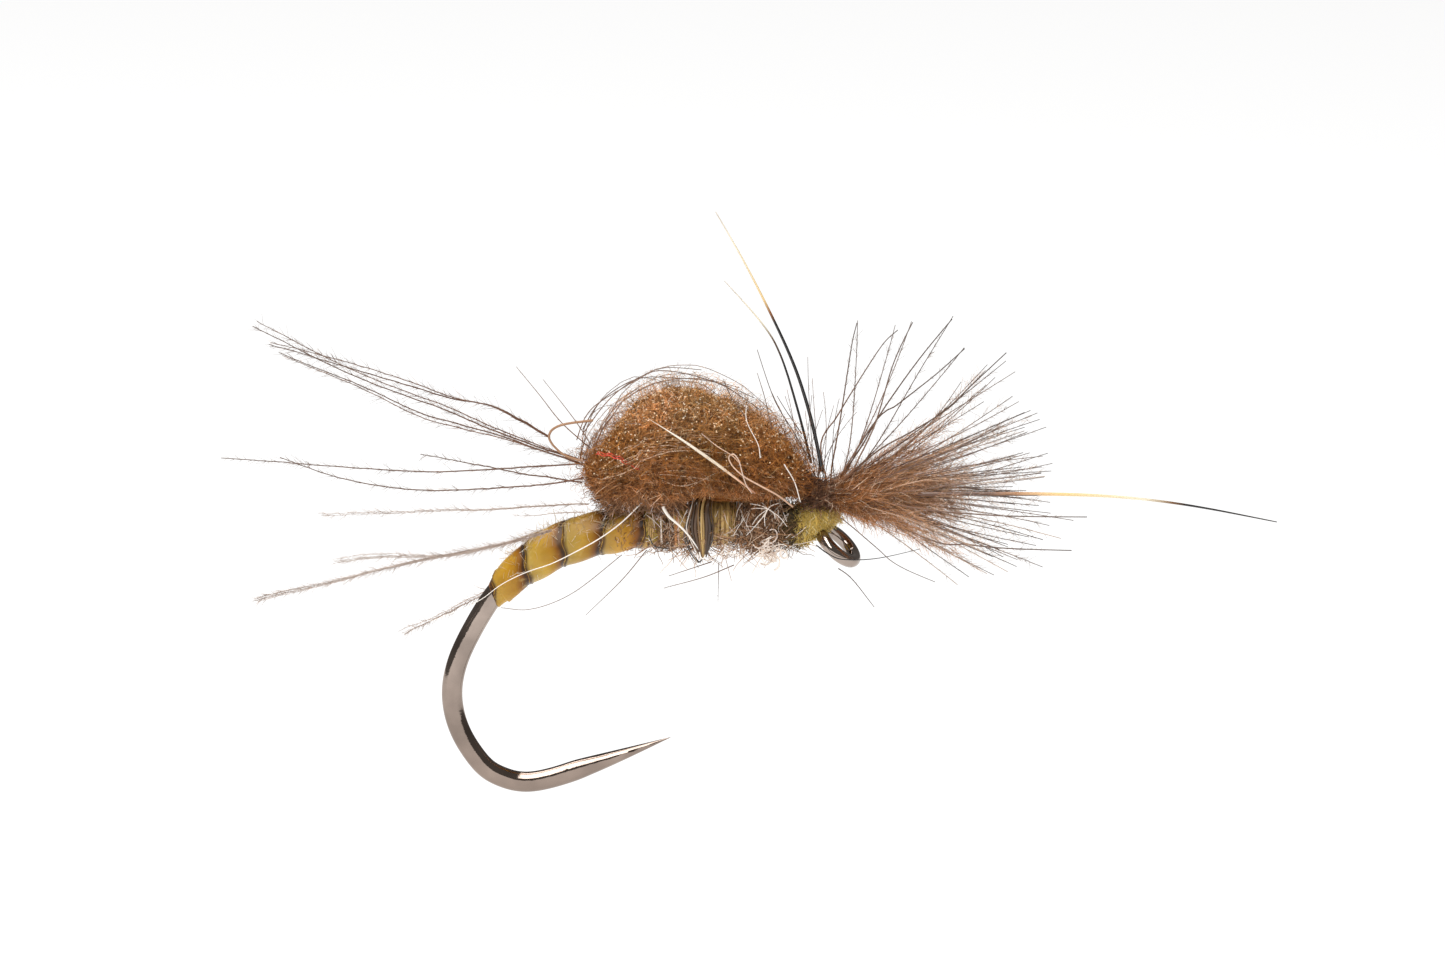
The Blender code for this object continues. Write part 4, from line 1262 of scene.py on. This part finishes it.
def make_free_hairs():
    rng = np.random.default_rng(61)
    paint = fibre_look("dun_barb")
    for name, (points, root, tip) in FREE_HAIRS.items():
        grow(f"free_hair_{name}",
             haired(rng, smooth(points, 24)[None], (root, tip, 5), (5, 0.10, 0.0026)),
             paint)
    silver = silver_paint()
    for name, (points, root, tip) in PALE_HAIRS.items():
        hair_piece(f"free_hair_{name}", smooth(points, 24), root, tip, silver, "fibre_pale",
                   tone=0.9, sides=6)
    for node in ("hair_eye_1", "hair_eye_2", "hair_eye_3", "hair_thin_1", "hair_thin_2"):
        line = smooth(middle_line(node, (-0.5, -0.5, 0.8)), 34)[None]
        dark = node == "hair_eye_1"
        hair, radii = barbules(rng, line, 4, 0.10, 0.0026)
        batches = [(line, taper(line, 0.020 if dark else 0.015, 0.009), np.array([0.1]), 5)]
        if not dark:
            batches.append(batch(rng, hair, radii))
        grow(node + "_fine", batches, gloss_dark_paint() if dark else paint,
             (node,))
    line = smooth(middle_line("hair_white", (-5, -0.9, 1.4)), 50)
    hair_piece("hair_white_smooth", line, 0.020, 0.007, silver, "fibre_pale", ("hair_white",),
               tone=1.0, sides=6)
    line = smooth(middle_line("red_fibre", (-6.6, -1, 2.5)), 30)[None]
    crimp = np.sin(np.linspace(0, 26, 30))[None, :, None] * np.array([0, 0.008, 0.02])
    line = line + crimp + np.array([0.0, 0.055, 0.0])
    twin = line + np.array([0.03, 0.02, 0.05])
    red = fibre_look("red_fibre")
    grow("red_fibre_crimped", [tapered(rng, line, 0.017, 0.012, 5),
                               tapered(rng, twin, 0.013, 0.009, 5)],
         red, ("red_fibre",))
    line = smooth(middle_line("stem_loop", (-6.3, -1.05, 3.6)), 60)[None]
    grow("stem_kinked",
         haired(rng, line, (0.034, 0.030, 8), (10, 0.16, 0.0032), tone=np.array([0.5])),
         fibre_look("stem"), ("stem_loop",))


# Thorax and underside

THORAX_BANDS = [            # (x from, x to, strands, thinnest, thickest, tone from, to, radius)
    (-5.02, -4.86, 5, 0.010, 0.020, 0.45, 0.70, 0.55),
    (-4.70, -4.64, 2, 0.018, 0.022, 0.95, 1.00, 0.64),
    (-4.62, -4.30, 16, 0.010, 0.032, 0.00, 0.40, 0.60),
    (-4.32, -3.95, 11, 0.020, 0.046, 0.50, 0.95, 0.63),
    (-3.95, -3.40, 9, 0.030, 0.050, 0.00, 0.35, 0.58),
    (-3.38, -2.92, 9, 0.040, 0.066, 0.40, 0.74, 0.61),
    (-2.92, -2.64, 5, 0.012, 0.022, 0.45, 0.75, 0.55),
    (-2.66, -2.58, 3, 0.020, 0.030, 0.00, 0.12, 0.62),
]


def rings_round(rng, line_of, spots, radius, tilt, wobble, count=30):
    """Strands wound once round the shank at the given places, each a little askew."""
    made = []
    for x in spots:
        turn = np.linspace(0, 2 * np.pi, count)
        shift = x + tilt * rng.normal() * np.sin(turn + rng.uniform(0, 6))
        centre = line_of(shift)
        away = radius * rng.uniform(0.94, 1.06) + wobble * np.sin(
            rng.integers(2, 5) * turn + rng.uniform(0, 6))
        made.append(centre + np.stack([
            np.zeros(count), -away * np.sin(turn), away * np.cos(turn)], axis=1))
    return np.array(made)


def make_thorax():
    rng = np.random.default_rng(71)
    low, high = box("thorax_base")
    line = wire_line(low[0], high[0] + 1.4, 60)

    def line_of(x):
        return np.stack([x, np.zeros_like(x), np.interp(x, line[:, 0], line[:, 2])], axis=1)

    strands, thick, tone = [], [], []
    for start, end, count, thin, fat, dark, light, away in THORAX_BANDS:
        spots = rng.uniform(start, end, count)
        strands.append(rings_round(rng, line_of, spots, away, 0.04, 0.02))
        thick.append(rng.uniform(thin, fat, count))
        tone.append(rng.uniform(dark, light, count))
    strands = np.concatenate(strands)
    thick = np.repeat(np.concatenate(thick)[:, None], strands.shape[1], axis=1)
    grow("thorax_strands", [(strands, thick, np.concatenate(tone), 6)], wrap_paint(),
         ("thorax_wraps",))

    for node in ("thorax_base", "shank_thread"):
        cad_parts[node].material_slots[0].material = thread_core_paint()
    make_dubbing(rng, line_of)
    make_leaf()
    make_curls(rng, line_of)
    make_star()


CORE_SHARE = 0.84           # of the CAD dubbing's radius, for the dense core under the fuzz


def make_dubbing(rng, line_of):
    """Short crinkled fibres wound on in front, with a thinner veil over the whole thorax."""
    low, high = box("thorax_dubbing")
    paint = fibre_look("purple_brown_dubbing")
    middle = (low[0] + high[0]) / 2
    batches = []
    for count, x, spread, reach, size in (  # (count, x, spread, distances out, lengths)
            (2400, middle + 0.02, 0.34, (0.45, 0.84), (0.20, 0.50)),
            (420, middle - 1.0, 0.75, (0.50, 0.66), (0.18, 0.50)),
            (760, -4.55, 0.30, (0.48, 0.72), (0.15, 0.45)),
            (240, -5.60, 0.36, (0.54, 0.68), (0.15, 0.45))):
        xs = x + rng.normal(0, spread, count).clip(-1.6 * spread, 1.6 * spread)
        turn = rng.uniform(0, 2 * np.pi, count)
        out = outward(turn)
        bulk = np.exp(-((xs - x) / (spread * 1.6)) ** 2)
        away = rng.uniform(reach[0], reach[1], count) * (0.68 + 0.32 * bulk)
        roots = line_of(xs) + out * away[:, None]
        directions = wound(rng, out, -0.1, 0.9)
        lengths = rng.uniform(size[0], size[1], count)
        bends = -out * lengths[:, None] * 0.35 + random_unit(rng, count) * 0.12
        made = arcs(roots, directions, lengths, bends, 7)
        t = steps(7)
        made = made + 0.04 * random_unit(rng, count)[:, None] * np.sin(9 * t)
        batches.append(tapered(rng, made, 0.0105, 0.006))
    grow("thorax_fuzz", batches, paint, ("thorax_dubbing",))
    core = bare_copy("thorax_dubbing", "dubbing_core")
    for vertex in core.vertices:
        centre = line_of(np.array([vertex.co.x / MM]))[0] * MM
        vertex.co = Vector(centre) + (vertex.co - Vector(centre)) * CORE_SHARE
    core.shade_smooth()
    place(core, grained_paint("dubbing_underlayer", (3.0, 6.0), (0.13, 0.070, 0.040),
                              (0.38, 0.22, 0.14), (0.24, 0.14, 0.09), (0.08, 1.0),
                              Roughness=0.95, Specular_IOR_Level=0.1))


LEAF_POINT = (-3.57, -0.93, -0.13)

LEAF_STRANDS = [            # (x at the top, x at the middle, thickness, tone)
    (-3.88, -4.00, 0.015, 1.00), (-3.85, -3.93, 0.020, 0.20), (-3.80, -3.85, 0.038, 0.03),
    (-3.72, -3.77, 0.046, 0.10), (-3.69, -3.68, 0.030, 0.30), (-3.60, -3.61, 0.026, 0.62),
    (-3.57, -3.55, 0.030, 0.40), (-3.48, -3.47, 0.046, 0.08), (-3.44, -3.39, 0.050, 0.02),
    (-3.35, -3.30, 0.022, 0.04),
]


def make_leaf():
    """Glossy strands that swell and meet in a point, like a seed, below the thorax."""
    lines, thick, tone = [], [], []
    last = len(LEAF_STRANDS) - 1
    for number, (top, middle, width, shade) in enumerate(LEAF_STRANDS):
        y = -0.88 - 0.05 * np.sin(np.pi * number / last)
        end = LEAF_POINT[0] + 0.020 * (number - last / 2)
        lines.append(smooth([(top + 0.08, y + 0.16, 1.50), (top, y, 1.16),
                             (middle, y - 0.02, 0.66), ((middle + end) / 2, y, 0.18),
                             (end, y, LEAF_POINT[2])], 26))
        swell = 0.55 + 0.45 * np.sin(np.pi * np.linspace(0.12, 0.92, 26))
        thick.append(width * swell)
        tone.append(shade)
    grow("leaf_strands", [(np.array(lines), np.array(thick), np.array(tone), 8)], wrap_paint(),
         ("leaf_blade",))
    turn = np.linspace(0, 2 * np.pi, 60)
    pinch = 1 - 0.55 * np.maximum(0, -np.cos(turn)) ** 1.5
    low, high = box("leaf_loop")
    centre = (low + high) / 2
    half = (high - low) / 2
    loops = np.array([np.stack([
        centre[0] - 0.02 * k + half[0] * (0.92 + 0.09 * k) * pinch * np.sin(turn),
        np.full(60, centre[1] - 0.10 - 0.03 * k),
        centre[2] + half[2] * (0.98 + 0.02 * k) * np.cos(turn)], axis=1) for k in range(2)])
    grow("leaf_loop_dark", [(loops, np.full((2, 60), 0.018), np.array([0.0, 0.9]), 6)],
         gloss_dark_paint(), ("leaf_loop",))
    # A small silver curl at the leaf's point: a painted highlight.
    tip = smooth([(-3.66, -0.98, 0.02), (-3.62, -1.0, -0.12), (-3.55, -1.0, -0.15),
                  (-3.50, -0.98, -0.05)], 16)[None]
    line = smooth(middle_line("silver_strand", (-4.6, -0.9, 1.5)), 40)[None]
    line = line + np.array([0.0, -0.05, 0.0])
    grow("silver_strand_smooth", [
        (line, taper(line, 0.050, 0.016, 0.7), np.array([1.0]), 8),
        (tip, taper(tip, 0.020, 0.020), np.array([1.0]), 8),
    ], silver_paint(), ("silver_strand",))
    line = smooth(middle_line("dark_loop", (-5.0, -0.6, 0.6)), 30)
    hair_piece("dark_loop_smooth", line, 0.020, 0.014, gloss_dark_paint(), "gloss_dark",
               ("dark_loop",), tone=0.1, sides=6)


CURL_POINTS = 34
GLASSY_CURLS = (-1.86, -0.78, 0.0)      # the middle of the thick clear curls in front
CURL_CLUSTERS = [           # (node, curls, spread in x, how much above the node's middle)
    ("curl_rear", 11, 0.30, 0.08), ("curl_front", 12, 0.17, 0.0),
]


def make_curls(rng, line_of):
    """Clear, tightly curled fibres that hang in two clusters."""
    paint = silver_paint()
    t = np.linspace(0, 1, CURL_POINTS)
    for node, count, spread, lift in CURL_CLUSTERS:
        low, high = box(node)
        centre = (low + high) / 2 + np.array([0, -0.05, lift])
        lines = []
        for _ in range(count):
            start = centre + rng.normal(0, 1, 3) * np.array([spread, 0.20, 0.09])
            heading = unit(rng.normal(0, 1, 3) * np.array([1.0, 0.5, 0.8]) - (0, 0, 0.3))
            one = square_to(heading, random_unit(rng, 1)[0])
            two = np.cross(heading, one)
            size = rng.uniform(0.06, 0.18)
            swing = 2 * np.pi * rng.uniform(0.4, 1.1) * t + rng.uniform(0, 6)
            run = rng.uniform(0.30, 0.75)
            lines.append(start + heading * (run * (t - 0.5))[:, None]
                         + one * (size * np.cos(swing))[:, None]
                         + two * (size * np.sin(swing))[:, None])
        lines = np.array(lines)
        grow(node + "_cluster", [tapered(rng, lines, 0.019, 0.012, 6)], paint,
             (node,))
    make_glassy_curls(rng, paint)
    make_wisps(rng, line_of, paint)
    make_underside(rng, line_of)


def make_glassy_curls(rng, paint):
    t = np.linspace(0, 1, CURL_POINTS)
    lines = []
    for _ in range(9):
        start = np.array(GLASSY_CURLS) + rng.normal(0, 1, 3) * np.array([0.20, 0.08, 0.15])
        swing = 2 * np.pi * rng.uniform(0.7, 1.3) * t + rng.uniform(0, 6)
        size = rng.uniform(0.07, 0.17)
        heading = unit(rng.normal(0, 1, 3) * np.array([0.8, 0.3, 1.0]))
        lines.append(start + heading * (rng.uniform(0.15, 0.40) * (t - 0.5))[:, None]
                     + np.stack([size * np.cos(swing), 0.05 * np.sin(3 * t),
                                 size * np.sin(swing)], axis=1))
    lines = np.array(lines)
    grow("curl_glassy", [tapered(rng, lines, 0.027, 0.017, 8)], paint)


def make_wisps(rng, line_of, paint):
    """Thin clear hairs that lie across the near side and the underside of the thorax."""
    count = 120
    xs = rng.uniform(-4.9, -1.3, count)
    turn = rng.uniform(0.30, 0.96, count) * np.pi
    out = outward(turn, rng.normal(0, 0.5, count))
    roots = line_of(xs) + unit(out) * 0.64
    side = unit(np.cross(out, np.array([1.0, 0.0, 0.0])) + random_unit(rng, count) * 0.8)
    wisps = arcs(roots, side, rng.uniform(0.3, 0.9, count),
                 -unit(out) * 0.15 + rng.normal(0, 0.15, (count, 3)), 14)
    grow("thorax_wisps", [tapered(rng, wisps, 0.011, 0.006, 4)], paint)


def make_underside(rng, line_of):
    """Loose ends of the windings that stray below the thorax, most of them near the leaf."""
    count = 260
    near = rng.random(count) < 0.35
    xs = np.where(near, rng.normal(-3.65, 0.28, count), rng.uniform(-4.9, -1.2, count))
    turn = rng.uniform(0.55, 1.05, count) * np.pi
    out = outward(turn, rng.normal(0, 0.3, count))
    roots = line_of(xs) + unit(out) * rng.uniform(0.50, 0.72, count)[:, None]
    along = rng.choice([-1.0, 1.0], count)[:, None] * np.array([0.9, 0.0, 0.0])
    directions = unit(along + unit(out) * rng.uniform(0.1, 0.9, count)[:, None]
                      + random_unit(rng, count) * 0.55)
    lengths = rng.uniform(0.25, 0.85, count)
    strands = arcs(roots, directions, lengths, rng.normal(0, 0.16, (count, 3)), 12)
    wave = np.sin(steps(12) * rng.uniform(5, 13, count)[:, None, None])
    strands = strands + 0.035 * random_unit(rng, count)[:, None] * wave
    grow("thorax_loose_ends", [tapered(rng, strands, 0.0115, 0.006, 4)],
         fibre_look("purple_brown_dubbing"))


STAR_CENTRE = (-1.85, -0.97, 1.18)

STAR_ENDS = [
    (-2.33, -1.05, 1.34), (-2.30, -1.05, 1.20), (-2.42, -0.95, 0.46), (-2.27, -1.0, 0.76),
    (-2.13, -1.0, 0.82), (-1.93, -1.0, 0.72), (-1.35, -0.85, 0.68), (-1.55, -0.9, 1.32),
    (-1.66, -0.95, 0.92),
]


def make_star():
    """Pale hairs that spread from one spot on the dubbing."""
    centre = np.array(STAR_CENTRE)
    lines = []
    for number, end in enumerate(STAR_ENDS):
        bow = np.array([0.05 * (-1) ** number, -0.06, 0.03])
        lines.append(smooth([centre, (centre + np.array(end)) / 2 + bow, end], 12))
    lines = np.array(lines)
    shades = np.tile([0.9, 0.5, 1.0], 3)
    grow("star_hairs", [(lines, taper(lines, 0.0125, 0.008), shades, 5)], silver_paint())


# Head

HEAD_MIDDLE = ([-1.60, -1.15, -0.90, -0.50, -0.10],     # x, and the middle's height there
               [0.56, 0.53, 0.54, 0.68, 0.80])
HEAD_RADIUS = ([-1.20, -1.05, -0.85, -0.65, -0.45, -0.25, -0.05],
               [0.40, 0.48, 0.50, 0.45, 0.36, 0.25, 0.12])


def make_head():
    rng = np.random.default_rng(81)
    low, high = box("thread_head")

    def line_of(x):
        """The middle of the head, rising from the wire to pass over the eye."""
        return np.stack([x, np.zeros_like(x), np.interp(x, *HEAD_MIDDLE)], axis=1)

    def girth(x):
        return np.interp(x, *HEAD_RADIUS)

    spots = np.linspace(low[0] + 0.02, -0.10, 20)
    wraps = np.concatenate([rings_round(rng, line_of, [x], girth(x) - 0.03, 0.07, 0.025, 36)
                            for x in spots])
    count = 4600
    xs = rng.uniform(low[0] - 0.06, 0.02, count)
    turn = rng.uniform(0, 2 * np.pi, count)
    out = outward(turn)
    roots = line_of(xs) + out * girth(xs)[:, None]
    directions = wound(rng, out, -0.2, 0.8)
    lengths = rng.uniform(0.10, 0.32, count)
    fuzz = arcs(roots, directions, lengths, -out * lengths[:, None] * 0.4
                + random_unit(rng, count) * 0.04, 5)
    grow("head_thread", [
        (wraps, np.full(wraps.shape[:2], 0.040), tones(rng, len(wraps)) * 0.8, 6),
        tapered(rng, fuzz, 0.0095, 0.006),
    ], fibre_look("yellow_thread"), ("thread_head",))

    low, high = box("tie_in_collar")
    spots = np.linspace(low[0] + 0.03, high[0] - 0.03, 10)
    wraps = rings_round(rng, line_of, spots, 0.47, 0.03, 0.012, 36)
    count = 900
    xs = rng.uniform(low[0], high[0], count)
    turn = rng.uniform(0, 2 * np.pi, count)
    out = outward(turn)
    roots = line_of(xs) + out * rng.uniform(0.40, 0.60, count)[:, None]
    directions = unit(out * 0.3 + random_unit(rng, count))
    fuzz = arcs(roots, directions, rng.uniform(0.10, 0.30, count),
                rng.normal(0, 0.05, (count, 3)), 5)
    grow("collar_thread", [
        (wraps, np.full(wraps.shape[:2], 0.030), tones(rng, len(wraps)), 6),
        tapered(rng, fuzz, 0.010, 0.006),
    ], fibre_look("olive_thread"))
    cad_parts["tie_in_collar"].material_slots[0].material = grained_paint(
        "olive_core", (4.0, 5.0, (3, 1, 1)), (0.03, 0.025, 0.012), (0.10, 0.085, 0.04),
        (0.06, 0.05, 0.025), Roughness=0.8)


# The studio

def make_world():
    """A dim white room, white where the camera sees it."""
    world = bpy.data.worlds.new("studio")
    bpy.context.scene.world = world
    world.use_nodes = True
    tree = world.node_tree
    back = tree.nodes["Background"]
    rays = tree.nodes.new("ShaderNodeLightPath")
    seen = tree.nodes.new("ShaderNodeMix")
    seen.data_type = "RGBA"
    tree.links.new(rays.outputs["Is Camera Ray"], seen.inputs[0])
    seen.inputs[6].default_value = (ROOM_LIGHT, ROOM_LIGHT * 0.97, ROOM_LIGHT * 0.94, 1)
    seen.inputs[7].default_value = (BACKDROP, BACKDROP, BACKDROP, 1)
    tree.links.new(seen.outputs[2], back.inputs["Color"])


def area_light(name, spot, size, power, target):
    lamp = bpy.data.lights.new(name, "AREA")
    lamp.shape = "RECTANGLE"
    lamp.size = size[0] * MM
    lamp.size_y = size[1] * MM
    lamp.energy = power
    made = add_object(name, lamp)
    made.location = Vector(spot) * MM
    look = Vector(target) * MM - made.location
    made.rotation_euler = look.to_track_quat("-Z", "Y").to_euler()


def make_floor():
    """A white table top, a little lit from within so that no shadow shows."""
    paint = Paint("pale_floor", Roughness=0.8, Specular_IOR_Level=0.1,
                  Emission_Strength=FLOOR_GLOW, Emission_Color=(1, 1, 1, 1))
    paint.colour(paint.ramp(paint.noise(0.002, 2.0), [(0.3, 0.38), (0.7, 0.42)]),
                 (0.40, 0.40, 0.40))
    mesh = bpy.data.meshes.new("floor")
    reach = FLOOR_REACH * MM
    height = FLOOR_HEIGHT * MM
    mesh.from_pydata([(-reach, -reach, height), (reach, -reach, height), (reach, reach, height),
                      (-reach, reach, height)], [], [(0, 1, 2, 3)])
    mesh.materials.append(paint.material)
    add_object("floor", mesh)


def make_camera():
    lens = bpy.data.cameras.new("camera")
    lens.sensor_width = SENSOR
    lens.lens = SENSOR * CAMERA_DISTANCE / PICTURE_WIDTH
    lens.clip_start = 0.005
    lens.clip_end = 20.0
    camera = add_object("camera", lens)
    centre = Vector(PICTURE_CENTRE)
    back = Vector((0, -np.cos(CAMERA_ELEVATION), np.sin(CAMERA_ELEVATION)))
    camera.location = (centre + back * CAMERA_DISTANCE) * MM
    camera.rotation_euler = (-back).to_track_quat("-Z", "Y").to_euler()
    bpy.context.scene.camera = camera


def make_studio():
    make_world()
    area_light("overhead", LAMP_SPOT, LAMP_SIZE, LAMP_POWER, LAMP_TARGET)
    make_floor()
    make_camera()
    bpy.context.scene.view_settings.view_transform = "Standard"


make_studio()
make_hook()
make_abdomen()
dome = Dome()
make_dome_shell()
make_dome_fibres(dome)
make_arches(dome)
make_legs()
make_wing()
make_root_tuft(dome)
make_guard_hairs()
make_quills()
make_free_hairs()
make_thorax()
make_head()
